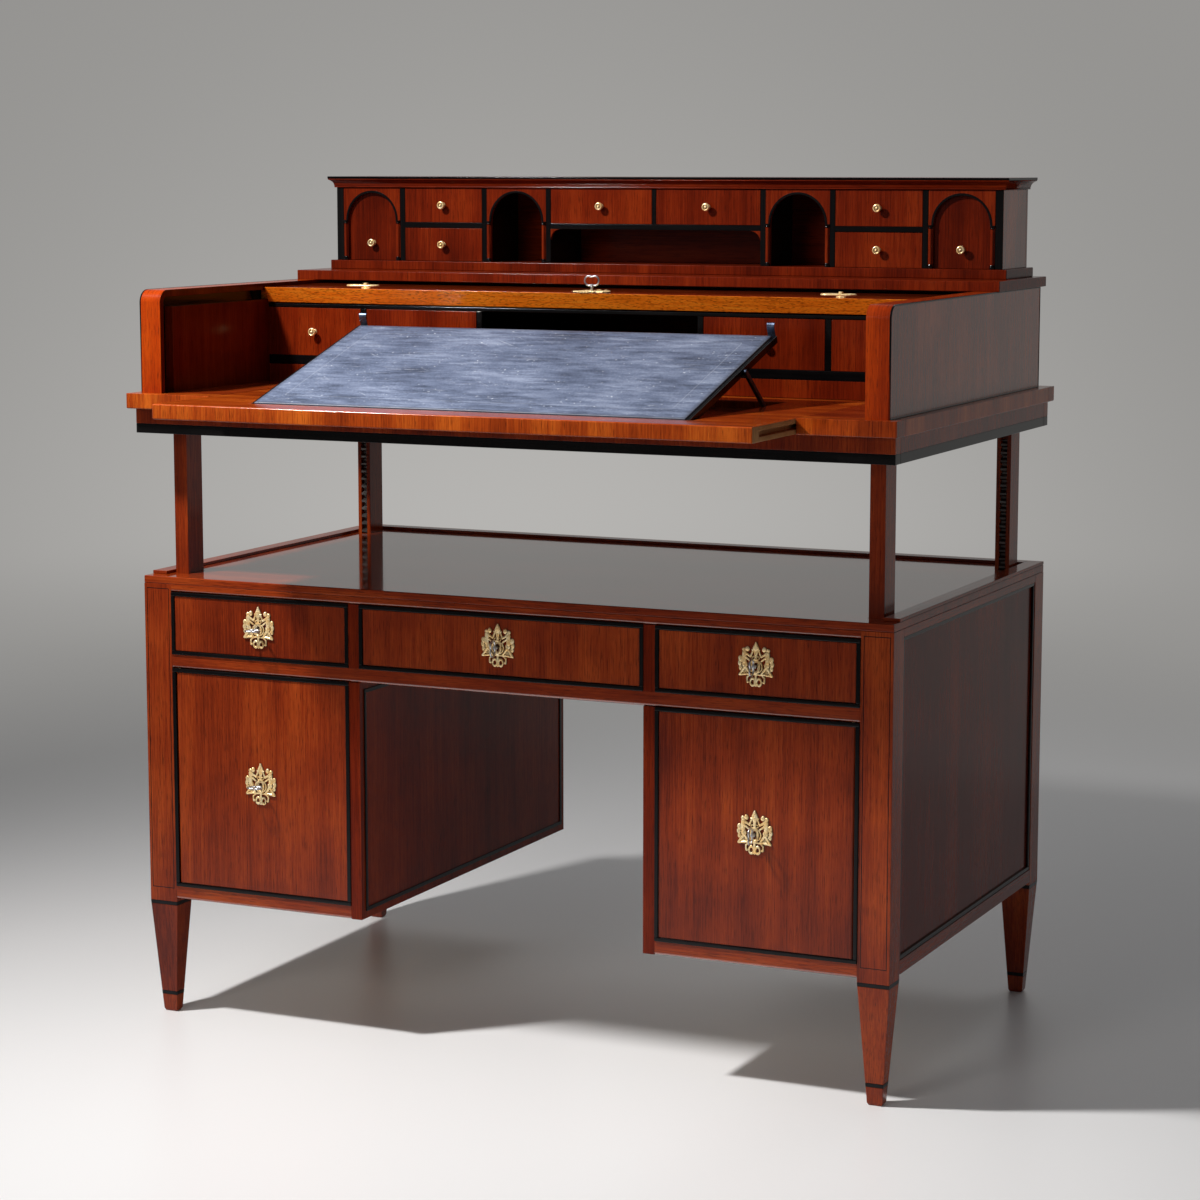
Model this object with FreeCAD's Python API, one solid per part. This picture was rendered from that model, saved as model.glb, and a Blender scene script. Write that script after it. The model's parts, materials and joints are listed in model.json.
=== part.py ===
import FreeCAD, Part
import math
import os

from FreeCAD import Vector

# Raising writing desk: a pedestal desk below, and a writing case with a drawer
# gallery that four toothed posts lift off it. Millimetres, +Z up, the front looks
# towards -Y. The sizes below count from the floor under the middle of the pedestal
# desk; save() then moves the origin to the middle of the whole desk's footprint.

# Lower desk
lower_width = 1260.0
lower_depth = 730.0
lower_height = 714.0
top_thickness = 12.0
rim_height = 5.0
rim_width = 26.0
rim_setback = 26.0
stile_width = 50.0
stile_depth = 44.0
leg_height = 186.0
leg_band_height = 6.0
foot_inset = 13.0
foot_ring_place = 28.0
foot_ring_height = 6.0
foot_bevel_height = 4.0
foot_bevel = 2.0
pedestal_lift = 6.0
bottom_rail_height = 21.0
top_rail_height = 12.0
drawer_band_height = 100.0
belt_height = 22.0
kneehole_width = 480.0
inner_wall_thickness = 19.0
rail_thickness = 22.0
panel_thickness = 14.0
panel_setback = 5.0
lining_thickness = 4.0
belt_board_thickness = 3.0
floor_thickness = 10.0
bead_width = 6.0
bead_depth = 3.5
bead_proud = 2.0
side_bead_proud = 4.0
kneehole_bead_inset = 12.0

# Fits
slip = 0.7
rest_gap = 0.3
post_slip = 0.6
shaft_fit = 0.05
overrun = 2.0

# Lift: posts, racks, shafts
lift_gap = 228.0
post_width = 24.0
post_depth = 45.0
post_inset_x = 31.0
post_inset_y = 45.0
post_foot_drop = 109.0
slot_width = 10.6
slot_depth = 12.0
rack_width = 10.0
rack_pitch = 13.2
rack_foot_margin = 12.0
pinion_teeth = 10
pinion_width = 8.0
pressure_angle = 25.0
backlash = 0.8
addendum_share = 0.25
dedendum_share = 0.32
shaft_radius = 6.0
bearing_half = 12.0
mitre_teeth = 10
mitre_radius = 13.0
mitre_face = 6.0
mitre_hub_length = 4.0
mitre_hub_radius = 9.0
mitre_tooth_share = 0.38
mitre_depth_share = 0.2
mitre_root_share = 2.0
mitre_tip_share = 0.5
gear_steps = 4
link_shaft_inset = 9.0
link_bearing_length = 20.0
well_room = 30.0
arbor_bush_radius = 11.0
arbor_bush_thickness = 2.0

# Pedestal drawers and doors
front_thickness = 20.0
drawer_side = 10.0
drawer_floor = 6.0
drawer_back_room = 51.0
drawer_box_low = 4.0
runner_width = 22.0
pivot_inset = 4.0
pivot_radius = 2.0
pivot_length = 16.0

# Lock plates and keys
plate_thickness = 2.5
plate_half_width = 27.0
shield_half_width = 11.0
shield_half_height = 17.0
scroll_radius = 9.0
scroll_hole = 5.0
loop_radius = 8.0
loop_hole = 4.5
finial_radius = 6.5
finial_height = 20.0
shank_radius = 3.0
shank_depth = 15.0
shank_proud = 16.0
bow_half_width = 13.0
bow_rod = 2.2
bow_thickness = 4.0

# Writing case
plinth_overhang = 2.0
plinth_front_overhang = 10.0
plinth_back_inset = 2.0
band_height = 15.0
plinth_height = 24.0
plinth_board = 22.0
base_board = 10.0
moulding_height = 24.0
moulding_side = 7.0
moulding_front = 16.0
moulding_back = 10.0
moulding_round = 2.0
cheek_inset = 10.0
cheek_thickness = 37.0
cheek_liner = 15.0
cheek_front_inset = 2.0
cheek_height = 161.0
cheek_round = 20.0
track_front = 26.0
track_height = 16.0
back_thickness = 16.0
case_top_overhang = 2.5
case_top_depth = 248.0
case_top_back_overhang = 2.0
case_top_height = 16.0

# Slide and slope
slide_margin = 143.0
slide_out = 161.0
slide_stop_room = 4.0
slide_gap = 0.5
slide_groove_height = 7.0
slide_groove_depth = 8.0
slide_groove_setback = 26.0
slope_margin = 127.5
slope_length = 355.0
slope_board_thickness = 11.0
leather_thickness = 2.5
slope_recess = 13.5
recess_room = 1.0
slope_angle = 17.0
slope_setback = 73.0
hinge_radius = 3.0
clip_width = 12.0
clip_thickness = 2.5
clip_height = 20.0
clip_inset = 3.0
strut_pin_place = 215.0
strut_length = 106.0
strut_width = 7.0
strut_thickness = 5.0
strut_gap = 0.4
strut_angle = 37.0
strut_pin = 2.0

# Flap
flap_nose = 15.0
flap_back_room = 25.0
flap_thickness = 25.0
flap_drop = 6.0
flap_bevel = 14.0
tongue_slip = 1.0
handle_inset = 170.0
handle_setback = 42.0
handle_width = 58.0
handle_depth = 24.0
handle_rod = 2.0
handle_post_width = 6.0
handle_post_height = 8.0
flap_key_setback = 30.0
flap_shank_depth = 12.0

# Drawers inside the writing case
inner_depth = 370.0
inner_plinth = 28.0
inner_floor_board = 15.0
inner_board = 6.0
inner_divider = 10.0
outer_bay = 175.0
inner_bay = 202.0
inner_top_gap = 2.0
inner_drawer_depth = 250.0

# Gallery
step_inset = 16.5
step_back_inset = 19.0
step_nose = 8.0
step_height = 15.0
gallery_inset = 9.0
gallery_back_inset = 6.0
gallery_depth = 128.0
gallery_height = 124.0
gallery_stile = 13.0
gallery_back_board = 8.0
divider = 9.0
arch_bay = 111.0
stack_bay = 148.0
niche_bay = 111.0
centre_divider = 7.0
gallery_rail_place = 56.5
gallery_rail = 9.0
cornice_height = 19.0
cornice_proud = 12.0
cornice_foot_share = 0.25
cornice_board = 4.0
small_slip = 0.5
small_front = 9.0
small_side = 5.0
small_floor = 3.0
small_back_gap = 6.0
arch_jamb = 8.0
arch_plate = 6.0
arch_top = 8.0
spandrel_round = 18.0
column_radius = 3.6
column_cap = 5.0
column_cap_height = 5.0
column_base_height = 6.0
small_knob_drop_share = 0.24

# Turned knobs: radius and length of neck, head and face
knob_neck = 2.6
knob_foot = 4.6
knob_foot_height = 1.6
knob_neck_length = 6.0
knob_head = 6.8
knob_head_length = 5.0
knob_dish = 4.6

# Derived places
half_w = lower_width / 2
half_d = lower_depth / 2
top_low = lower_height - top_thickness
stile_in_x = half_w - stile_width
stile_in_y = half_d - stile_depth
band_top = top_low - top_rail_height
drawer_band_place = band_top - drawer_band_height
belt_low = drawer_band_place - belt_height
pedestal_base = leg_height + pedestal_lift
door_low = pedestal_base + bottom_rail_height
wall_in = kneehole_width / 2
wall_out = wall_in + inner_wall_thickness
rail_in_y = half_d - rail_thickness
panel_out = half_w - panel_setback
panel_in = panel_out - panel_thickness
lock_x = (stile_in_x + wall_out) / 2
drawer_key_z = drawer_band_place + drawer_band_height / 2
door_key_z = (door_low + belt_low) / 2
post_outer_x = half_w - post_inset_x
post_inner_x = post_outer_x - post_width
post_mid_x = post_outer_x - post_width / 2
post_outer_y = half_d - post_inset_y
post_inner_y = post_outer_y - post_depth
well_inner_x = post_inner_x - well_room
well_wall = well_inner_x - lining_thickness
link_shaft_place = post_inner_x - link_shaft_inset
addendum = addendum_share * rack_pitch
dedendum = dedendum_share * rack_pitch
pitch_radius = pinion_teeth * rack_pitch / (2 * math.pi)
shaft_y = post_inner_y + addendum - pitch_radius
shaft_z = drawer_band_place - belt_height / 2
post_bottom = shaft_z - post_foot_drop
base_low = lower_height + lift_gap
band_high = base_low + band_height
plinth_top = band_high + plinth_height
floor_z = plinth_top + moulding_height
cheek_top = floor_z + cheek_height
plinth_half = half_w + plinth_overhang
plinth_front = half_d + plinth_front_overhang
plinth_back = half_d - plinth_back_inset
strip_in_x = plinth_half - plinth_board
strip_in_front = plinth_front - plinth_board
strip_in_back = plinth_back - plinth_board
back_face_in = strip_in_back - back_thickness
cheek_out = plinth_half - cheek_inset
cheek_in = cheek_out - cheek_thickness
cheek_front = plinth_front - cheek_front_inset
case_top_z = cheek_top + case_top_height
case_top_half = cheek_out + case_top_overhang
case_top_back = plinth_back + case_top_back_overhang
case_top_front = case_top_back - case_top_depth
gallery_z = case_top_z + step_height
gallery_top = gallery_z + gallery_height
flap_top = cheek_top - flap_drop
flap_low = flap_top - flap_thickness
track_top = flap_top - (flap_thickness - track_height) / 2
track_low = track_top - track_height
inner_top = flap_low - inner_top_gap
mould_front = plinth_front + moulding_front
mould_back = plinth_back + moulding_back
slide_front = mould_front + slide_out
slide_back = strip_in_back - slide_out - slide_stop_room
slide_half = half_w - slide_margin
slide_top = floor_z - slide_gap
recess_floor = slide_top - slope_recess
slope_low = recess_floor + rest_gap
hinge_z = slope_low + hinge_radius
slope_half = slide_half - slope_margin
slope_front = slide_front - slope_setback
slope_back = slope_length - slope_front
inner_front = inner_depth - back_face_in
inner_split = cheek_in - outer_bay - inner_divider
inner_mid_half = inner_split - inner_bay - inner_divider
flap_front = inner_front + flap_nose
flap_back = back_face_in - flap_back_room
handle_place = cheek_in - handle_inset
step_half = case_top_half - step_inset
step_back = case_top_back - step_back_inset
gallery_half = step_half - gallery_inset
gallery_back = step_back - gallery_back_inset
gallery_front = gallery_back - gallery_depth
step_front = gallery_front - step_nose
end_in = gallery_half - gallery_stile
outer_divider_x = end_in - arch_bay - divider
mid_divider_x = outer_divider_x - stack_bay - divider
inner_divider_x = mid_divider_x - niche_bay - divider


def board(x0, x1, y0, y1, z0, z1):
    return Part.makeBox(x1 - x0, y1 - y0, z1 - z0, Vector(x0, y0, z0))


def side_board(side, x0, x1, y0, y1, z0, z1):
    # x0 and x1 count outwards from the middle; side is -1 (left) or 1 (right)
    low, high = sorted((side * x0, side * x1))
    return board(low, high, y0, y1, z0, z1)


def four_corners(x0, x1, y0, y1, z0, z1):
    out = []
    for side in (-1, 1):
        out.append(side_board(side, x0, x1, y0, y1, z0, z1))
        out.append(side_board(side, x0, x1, -y1, -y0, z0, z1))
    return out


def both_sides(*sizes):
    return [side_board(side, *sizes) for side in (-1, 1)]


def rod(radius, length, start, along):
    return Part.makeCylinder(radius, length, start, along)


def prism(points, along):
    face = Part.Face(Part.makePolygon(points + points[:1]))
    return face.extrude(along)


def save(node, solids):
    group = Part.Compound(solids)
    group.translate(Vector(0, (slide_front - mould_back) / 2, 0))
    group.exportStep("parts/" + node + ".step")


os.makedirs("parts", exist_ok=True)


# Corner legs: a square stile that turns into a tapered leg with a bevelled foot
def leg_section(x0, x1, y0, y1, z, inset):
    low_x, high_x = x0 + inset, x1 - inset
    low_y, high_y = y0 + inset, y1 - inset
    points = [(low_x, low_y), (high_x, low_y), (high_x, high_y), (low_x, high_y), (low_x, low_y)]
    return Part.makePolygon([Vector(x, y, z) for x, y in points])


def corner_leg(x0, x1, y0, y1):
    def inset_at(z):
        return foot_inset * (leg_height - z) / (leg_height - foot_bevel_height)

    def slice_of(low, high):
        sections = [leg_section(x0, x1, y0, y1, z, inset_at(z)) for z in (low, high)]
        return Part.makeLoft(sections, True, True)

    band_low = leg_height - leg_band_height
    ring_high = foot_ring_place + foot_ring_height
    stile = board(x0, x1, y0, y1, leg_height, top_low)
    shaft = slice_of(ring_high, band_low)
    ankle = slice_of(foot_bevel_height, foot_ring_place)
    sole = leg_section(x0, x1, y0, y1, 0, foot_inset + foot_bevel)
    heel = leg_section(x0, x1, y0, y1, foot_bevel_height, foot_inset)
    foot = ankle.fuse(Part.makeLoft([sole, heel], True, True))
    bands = [slice_of(band_low, leg_height), slice_of(foot_ring_place, ring_high)]
    return [stile, shaft, foot], bands


leg_wood = []
leg_black = []
for side in (-1, 1):
    for end in (-1, 1):
        xs = sorted((side * stile_in_x, side * half_w))
        ys = sorted((end * stile_in_y, end * half_d))
        wood, black = corner_leg(*xs, *ys)
        leg_wood += wood
        leg_black += black
save("corner_legs", leg_wood)
save("leg_bands", leg_black)

# Carcass rails, all flush with the stiles
rails = []
for end in (-1, 1):
    ys = sorted((end * rail_in_y, end * half_d))
    rails.append(board(-stile_in_x, stile_in_x, *ys, band_top, top_low))
    rails.append(board(-stile_in_x, stile_in_x, *ys, belt_low, drawer_band_place))
    for side in (-1, 1):
        rails.append(side_board(side, wall_out, stile_in_x, *ys, pedestal_base, door_low))
rail_in_x = half_w - rail_thickness
rails += both_sides(rail_in_x, half_w, -stile_in_y, stile_in_y, band_top, top_low)
rails += both_sides(rail_in_x, half_w, -stile_in_y, stile_in_y, pedestal_base, door_low)
save("carcass_rails", rails)

# Panels: outer sides, backs, and the two walls of the kneehole
crank_place = Vector(-panel_in, shaft_y, shaft_z)
leftward = Vector(-1, 0, 0)
left_panel, right_panel = both_sides(panel_in, panel_out, -stile_in_y, stile_in_y, door_low, band_top)
left_panel = left_panel.cut(rod(arbor_bush_radius, panel_thickness + overrun, crank_place, leftward))
back_y = half_d - panel_setback
panels = [left_panel, right_panel]
panels.append(board(-stile_in_x, stile_in_x, back_y - panel_thickness, back_y, drawer_band_place, band_top))
panels += both_sides(wall_out, stile_in_x, back_y - panel_thickness, back_y, door_low, belt_low)
panels += both_sides(wall_in, wall_out, -half_d, half_d, pedestal_base, belt_low)
panels += both_sides(wall_in, wall_out, -half_d, back_y - panel_thickness, drawer_band_place, band_top)
save("carcass_panels", panels)

# Linings: floors, the thin boards under drawers and over the cupboards, runners,
# the walls of the post wells and the blocks that guide the posts
back_in = back_y - panel_thickness
linings = both_sides(wall_out, stile_in_x, -rail_in_y, rail_in_y, door_low - floor_thickness, door_low)
linings += both_sides(stile_in_x, rail_in_x, -stile_in_y, stile_in_y, door_low - floor_thickness, door_low)
dust_low = drawer_band_place - belt_board_thickness
for z in (belt_low, dust_low):
    linings.append(board(-well_inner_x, well_inner_x, -rail_in_y, rail_in_y, z, z + belt_board_thickness))
linings += both_sides(well_wall, well_inner_x, -rail_in_y, rail_in_y, door_low, belt_low)
linings += both_sides(well_wall, well_inner_x, -rail_in_y, rail_in_y, drawer_band_place, band_top)
runner_top = drawer_band_place + bead_width
box_in = wall_out + bead_width + slip
box_out = well_wall - slip
for x0 in (box_in, box_out - runner_width):
    linings += both_sides(x0, x0 + runner_width, -rail_in_y, back_in, drawer_band_place, runner_top)
mid_half = wall_in - bead_width - slip
linings += both_sides(mid_half - runner_width, mid_half, -rail_in_y, back_in, drawer_band_place, runner_top)
guide_low = shaft_z + bearing_half + drawer_side
linings += four_corners(post_outer_x + post_slip, panel_in, post_inner_y, post_outer_y, guide_low, band_top)
save("carcass_linings", linings)

# Lower top: boards jointed round the four post holes, with a rim on three sides
hole_in_x = post_inner_x - post_slip
hole_out_x = post_outer_x + post_slip
hole_in_y = post_inner_y - post_slip
hole_out_y = post_outer_y + post_slip
tops = [board(-half_w, half_w, -half_d, -hole_out_y, top_low, lower_height)]
tops.append(board(-half_w, half_w, hole_out_y, half_d, top_low, lower_height))
tops.append(board(-hole_in_x, hole_in_x, -hole_out_y, hole_out_y, top_low, lower_height))
tops += both_sides(hole_in_x, hole_out_x, -hole_in_y, hole_in_y, top_low, lower_height)
tops += both_sides(hole_out_x, half_w, -hole_out_y, hole_out_y, top_low, lower_height)
rim_top = lower_height + rim_height
rim_in_x = half_w - rim_width
rim_in_y = half_d - rim_width
tops += both_sides(rim_in_x, half_w, -half_d + rim_setback, half_d, lower_height, rim_top)
tops.append(board(-rim_in_x, rim_in_x, rim_in_y, half_d, lower_height, rim_top))
save("lower_top", tops)


# Ebonised beads round every front opening, the side panels and the kneehole walls
def front_bead(x0, x1, z0, z1):
    y0 = -half_d - bead_proud
    y1 = y0 + bead_depth
    return [
        board(x0, x1, y0, y1, z0, z0 + bead_width),
        board(x0, x1, y0, y1, z1 - bead_width, z1),
        board(x0, x0 + bead_width, y0, y1, z0 + bead_width, z1 - bead_width),
        board(x1 - bead_width, x1, y0, y1, z0 + bead_width, z1 - bead_width),
    ]


def side_bead(side, x0, x1, y, z0, z1):
    return [
        side_board(side, x0, x1, -y, y, z0, z0 + bead_width),
        side_board(side, x0, x1, -y, y, z1 - bead_width, z1),
        side_board(side, x0, x1, -y, -y + bead_width, z0 + bead_width, z1 - bead_width),
        side_board(side, x0, x1, y - bead_width, y, z0 + bead_width, z1 - bead_width),
    ]


openings = {
    "left_drawer": (-stile_in_x, -wall_out, drawer_band_place, band_top),
    "centre_drawer": (-wall_in, wall_in, drawer_band_place, band_top),
    "right_drawer": (wall_out, stile_in_x, drawer_band_place, band_top),
    "left_door": (-stile_in_x, -wall_out, door_low, belt_low),
    "right_door": (wall_out, stile_in_x, door_low, belt_low),
}
beads = []
for opening in openings.values():
    beads += front_bead(*opening)
knee_y = half_d - kneehole_bead_inset
knee_low = pedestal_base + kneehole_bead_inset
knee_high = belt_low - kneehole_bead_inset
for side in (-1, 1):
    beads += side_bead(side, panel_out, panel_out + side_bead_proud, stile_in_y, door_low, band_top)
    beads += side_bead(side, wall_in - bead_proud, wall_in, knee_y, knee_low, knee_high)
save("ebony_beads", beads)


# Bearings of the lift shafts and the pins that the doors turn on
def bearing(x0, x1, y):
    low, high = sorted((x0, x1))
    z0, z1 = shaft_z - bearing_half, shaft_z + bearing_half
    block = board(low, high, y - bearing_half, y + bearing_half, z0, z1)
    bore_start = Vector(low - overrun, y, shaft_z)
    return block.cut(rod(shaft_radius + shaft_fit, high - low + 2 * overrun, bore_start, Vector(1, 0, 0)))


bearings = []
for side in (-1, 1):
    for y in (-shaft_y, shaft_y):
        bearings.append(bearing(side * (post_outer_x + post_slip), side * panel_in, y))
link_half = link_bearing_length / 2
block_zs = (shaft_z - bearing_half, shaft_z + bearing_half)
link_block = board(-panel_in, -well_inner_x, -link_half, link_half, *block_zs)
link_start = Vector(-link_shaft_place, -link_half - overrun, shaft_z)
link_bore = rod(shaft_radius + shaft_fit, link_bearing_length + 2 * overrun, link_start, Vector(0, 1, 0))
bearings.append(link_block.cut(link_bore))
bush = rod(arbor_bush_radius, panel_thickness + arbor_bush_thickness, crank_place, leftward)
bush_bore = rod(shaft_radius + shaft_fit, panel_thickness + 2 * overrun, crank_place, leftward)
bearings.append(bush.cut(bush_bore))
pivot_x = stile_in_x - bead_width - slip - pivot_inset
pivot_y = -half_d + pivot_inset
for side in (-1, 1):
    for z in (door_low, belt_low - pivot_length):
        pin_foot = Vector(side * pivot_x, pivot_y, z)
        bearings.append(rod(pivot_radius, pivot_length, pin_foot, Vector(0, 0, 1)))
save("bearings_and_pivots", bearings)


# Gears: involute teeth on the pinions, straight flanks at the same angle on the racks
alpha = math.radians(pressure_angle)


def involute(angle):
    return math.tan(angle) - angle


def pinion_outline():
    base = pitch_radius * math.cos(alpha)
    root = pitch_radius - dedendum
    tip = pitch_radius + addendum
    half_tooth = math.pi / (2 * pinion_teeth) - backlash / (2 * pitch_radius)
    flank = []
    for step in range(gear_steps + 1):
        r = max(base, root) + (tip - max(base, root)) * step / gear_steps
        flank.append((r, half_tooth + involute(alpha) - involute(math.acos(base / r))))
    if root < base:
        flank.insert(0, (root, flank[0][1]))
    points = []
    for tooth in range(pinion_teeth):
        middle = 2 * math.pi * tooth / pinion_teeth
        points += [(r, middle - a) for r, a in flank]
        points += [(r, middle + a) for r, a in reversed(flank)]
    return [(r * math.cos(a), r * math.sin(a)) for r, a in points]


def pinion(x, y, towards):
    # one tooth points at the rack, which lies along towards (-1 or 1) in Y
    points = [Vector(x - pinion_width / 2, y + towards * u, shaft_z + v) for u, v in pinion_outline()]
    wheel = prism(points, Vector(pinion_width, 0, 0))
    hole_start = Vector(x - pinion_width / 2 - overrun, y, shaft_z)
    return wheel.cut(rod(shaft_radius, pinion_width + 2 * overrun, hole_start, Vector(1, 0, 0)))


def mitre(apex, axis, turn):
    # teeth run from the small end to the large end on a 45 degree cone
    axis = Vector(*axis)
    up = Vector(0, 0, 1)
    across = axis.cross(up)
    tooth = mitre_tooth_share * math.pi / mitre_teeth
    rings = []
    for place in (mitre_radius - mitre_face, mitre_radius):
        depth = mitre_depth_share * 2 * math.pi * place / mitre_teeth
        root = place - depth
        tip = place + mitre_tip_share * depth
        wide = mitre_root_share * tooth
        narrow = mitre_tip_share * tooth
        points = []
        for n in range(mitre_teeth):
            middle = 2 * math.pi * (n + turn) / mitre_teeth
            for r, a in ((root, -wide), (tip, -narrow), (tip, narrow), (root, wide)):
                angle = middle + a
                spoke = across * (r * math.cos(angle)) + up * (r * math.sin(angle))
                points.append(apex + axis * place + spoke)
        rings.append(Part.makePolygon(points + points[:1]))
    cone = Part.makeLoft(rings, True, True)
    hub = rod(mitre_hub_radius, mitre_hub_length, apex + axis * mitre_radius, axis)
    hole = rod(shaft_radius, 2 * mitre_radius + mitre_hub_length, apex, axis)
    return cone.fuse(hub).cut(hole)


def lift_shaft(node, end, left_end):
    y = end * shaft_y
    length = panel_in - overrun + left_end
    shaft = rod(shaft_radius, length, Vector(-left_end, y, shaft_z), Vector(1, 0, 0))
    apex = Vector(-link_shaft_place, y, shaft_z)
    solids = [shaft, mitre(apex, (1, 0, 0), 0)]
    for side in (-1, 1):
        solids.append(pinion(side * post_mid_x, y, end))
    save(node, solids)


lift_shaft("front_lift_shaft", -1, panel_in - overrun)
lift_shaft("rear_lift_shaft", 1, panel_out)
link_tip = shaft_y - (mitre_radius - mitre_face)
link_wheels = []
for end in (-1, 1):
    apex = Vector(-link_shaft_place, end * shaft_y, shaft_z)
    link_wheels.append(mitre(apex, (0, -end, 0), 1 / 2))
link_rod = rod(shaft_radius, 2 * link_tip, Vector(-link_shaft_place, -link_tip, shaft_z), Vector(0, 1, 0))
save("link_shaft", [link_rod] + link_wheels)

# Lift posts with a slot down their inner face, and a rack in each slot
posts = []
racks = []
post_top = band_high - base_board
rack_low = post_bottom + rack_foot_margin
tooth_half = rack_pitch / 4 - backlash / 4
lean = math.tan(alpha)
first_gap = math.floor((shaft_z - rack_low) / rack_pitch) - 1
rack_start = shaft_z - (first_gap + 1 / 2) * rack_pitch
rack_count = int((post_top - rack_foot_margin - rack_start) / rack_pitch)
for side in (-1, 1):
    for end in (-1, 1):
        ys = sorted((end * post_inner_y, end * post_outer_y))
        xs = sorted((side * post_inner_x, side * post_outer_x))
        post = board(*xs, *ys, post_bottom, post_top)
        slot_ys = sorted((end * (post_inner_y - overrun), end * (post_inner_y + slot_depth)))
        middle = side * post_mid_x
        slot_xs = (middle - slot_width / 2, middle + slot_width / 2)
        posts.append(post.cut(board(*slot_xs, *slot_ys, post_bottom - overrun, post_top - overrun)))
        root_y = post_inner_y + addendum + dedendum
        first = rack_start - rack_pitch / 2
        points = [(post_inner_y + slot_depth, first), (root_y, first)]
        for n in range(rack_count):
            z = rack_start + n * rack_pitch
            points.append((root_y, z - tooth_half - dedendum * lean))
            points.append((post_inner_y, z - tooth_half + addendum * lean))
            points.append((post_inner_y, z + tooth_half - addendum * lean))
            points.append((root_y, z + tooth_half + dedendum * lean))
        last = rack_start + (rack_count - 1 / 2) * rack_pitch
        points += [(root_y, last), (post_inner_y + slot_depth, last)]
        face = [Vector(middle - rack_width / 2, end * y, z) for y, z in points]
        racks.append(prism(face, Vector(rack_width, 0, 0)))
save("lift_posts", posts)
save("post_racks", racks)


# Plinth of the writing case: black band, mahogany frieze, and a nosing moulding that
# is open at the front for the writing slide
def frame(half_x, y0, y1, thick, z0, z1):
    return [
        board(-half_x, half_x, y0, y0 + thick, z0, z1),
        board(-half_x, half_x, y1 - thick, y1, z0, z1),
        board(-half_x, -half_x + thick, y0 + thick, y1 - thick, z0, z1),
        board(half_x - thick, half_x, y0 + thick, y1 - thick, z0, z1),
    ]


save("plinth_band", frame(plinth_half, -plinth_front, plinth_back, plinth_board, base_low, band_high))
save("upper_plinth", frame(plinth_half, -plinth_front, plinth_back, plinth_board, band_high, plinth_top))
mould_half = plinth_half + moulding_side
slab = board(-mould_half, mould_half, -mould_front, mould_back, plinth_top, floor_z)
low_edges = [e for e in slab.Edges if e.BoundBox.ZMax < plinth_top + overrun]
slab = slab.makeFillet(moulding_round, low_edges)
slide_room = slide_half + slip
mouldings = [board(-mould_half, mould_half, strip_in_back, mould_back, plinth_top, floor_z)]
for side in (-1, 1):
    mould_zs = (plinth_top, floor_z)
    mouldings.append(side_board(side, strip_in_x, mould_half, -strip_in_front, strip_in_back, *mould_zs))
    mouldings.append(side_board(side, slide_room, mould_half, -mould_front, -strip_in_front, *mould_zs))
save("base_moulding", [slab.common(strip) for strip in mouldings])

# Boards of the case: base board that the posts carry, the fixed floor beside and behind
# the slide, and the back
case_boards = [
    board(-strip_in_x, strip_in_x, -strip_in_front, strip_in_back, post_top, band_high),
    board(-cheek_in, cheek_in, back_face_in, strip_in_back, floor_z, cheek_top),
]
depth_ys = (-strip_in_front, strip_in_back)
case_boards += both_sides(slide_room, strip_in_x, *depth_ys, plinth_top, floor_z)
for side in (-1, 1):
    case_boards.append(side_board(side, slide_room, strip_in_x, *depth_ys, band_high, plinth_top))
bearer_in = slide_half - plinth_board
case_boards += both_sides(bearer_in, slide_room, -strip_in_front, strip_in_back, band_high, plinth_top)
save("case_boards", case_boards)

# Cheeks: an outer board with a rounded front corner; inside it a lip that follows the same
# corner, and a liner, with the flap track between lip and liner
def cheek_outline(x, inset, over):
    reach = cheek_round - inset
    shoulder = reach * (1 - math.cos(math.pi / 4))
    front = -cheek_front + inset
    high = cheek_top - inset
    back = strip_in_back + over
    low = floor_z - over
    corner = [
        Vector(x, front, high - reach),
        Vector(x, front + shoulder, high - shoulder),
        Vector(x, front + reach, high),
    ]
    path = [corner[2], Vector(x, back, high), Vector(x, back, low), Vector(x, front, low), corner[0]]
    edges = [Part.Arc(*corner).toShape()]
    edges += [Part.makeLine(a, b) for a, b in zip(path, path[1:])]
    return Part.Face(Part.Wire(edges))


cheeks = []
cheek_lip = cheek_top - track_top
liner_out = cheek_in + cheek_liner
for side in (-1, 1):
    inward = Vector(-side * cheek_liner, 0, 0)
    outward = Vector(side * (cheek_thickness - cheek_liner), 0, 0)
    cheeks.append(cheek_outline(side * liner_out, 0, 0).extrude(outward))
    lip = cheek_outline(side * liner_out, 0, 0).extrude(inward)
    cheeks.append(lip.cut(cheek_outline(side * liner_out, cheek_lip, overrun).extrude(inward)))
    liner_y = -cheek_front + cheek_lip + track_front
    cheeks.append(side_board(side, cheek_in, liner_out, liner_y, strip_in_back, floor_z, track_low))
save("cheeks", cheeks)
case_lid = board(-case_top_half, case_top_half, case_top_front, case_top_back, cheek_top, case_top_z)
save("case_top", [case_lid])

# Writing slide, carried in the base: a groove along each end, and a recess on top where the
# slope and its strut lie when they are folded
slide_low = plinth_top + rest_gap
slide = board(-slide_half, slide_half, -slide_front, slide_back, slide_low, slide_top)
groove_low = (slide_low + slide_top - slide_groove_height) / 2
groove_ys = (-slide_front + slide_groove_setback, slide_back + overrun)
groove_zs = (groove_low, groove_low + slide_groove_height)
for groove in both_sides(slide_half - slide_groove_depth, slide_half + overrun, *groove_ys, *groove_zs):
    slide = slide.cut(groove)
bar_x = slope_half + strut_gap
recess_xs = (-slope_half - recess_room, bar_x + strut_thickness + recess_room)
recess_ys = (-slope_front - hinge_radius - recess_room, slope_back + clip_thickness + recess_room)
save("writing_slide", [slide.cut(board(*recess_xs, *recess_ys, recess_floor, slide_top + overrun))])

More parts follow.
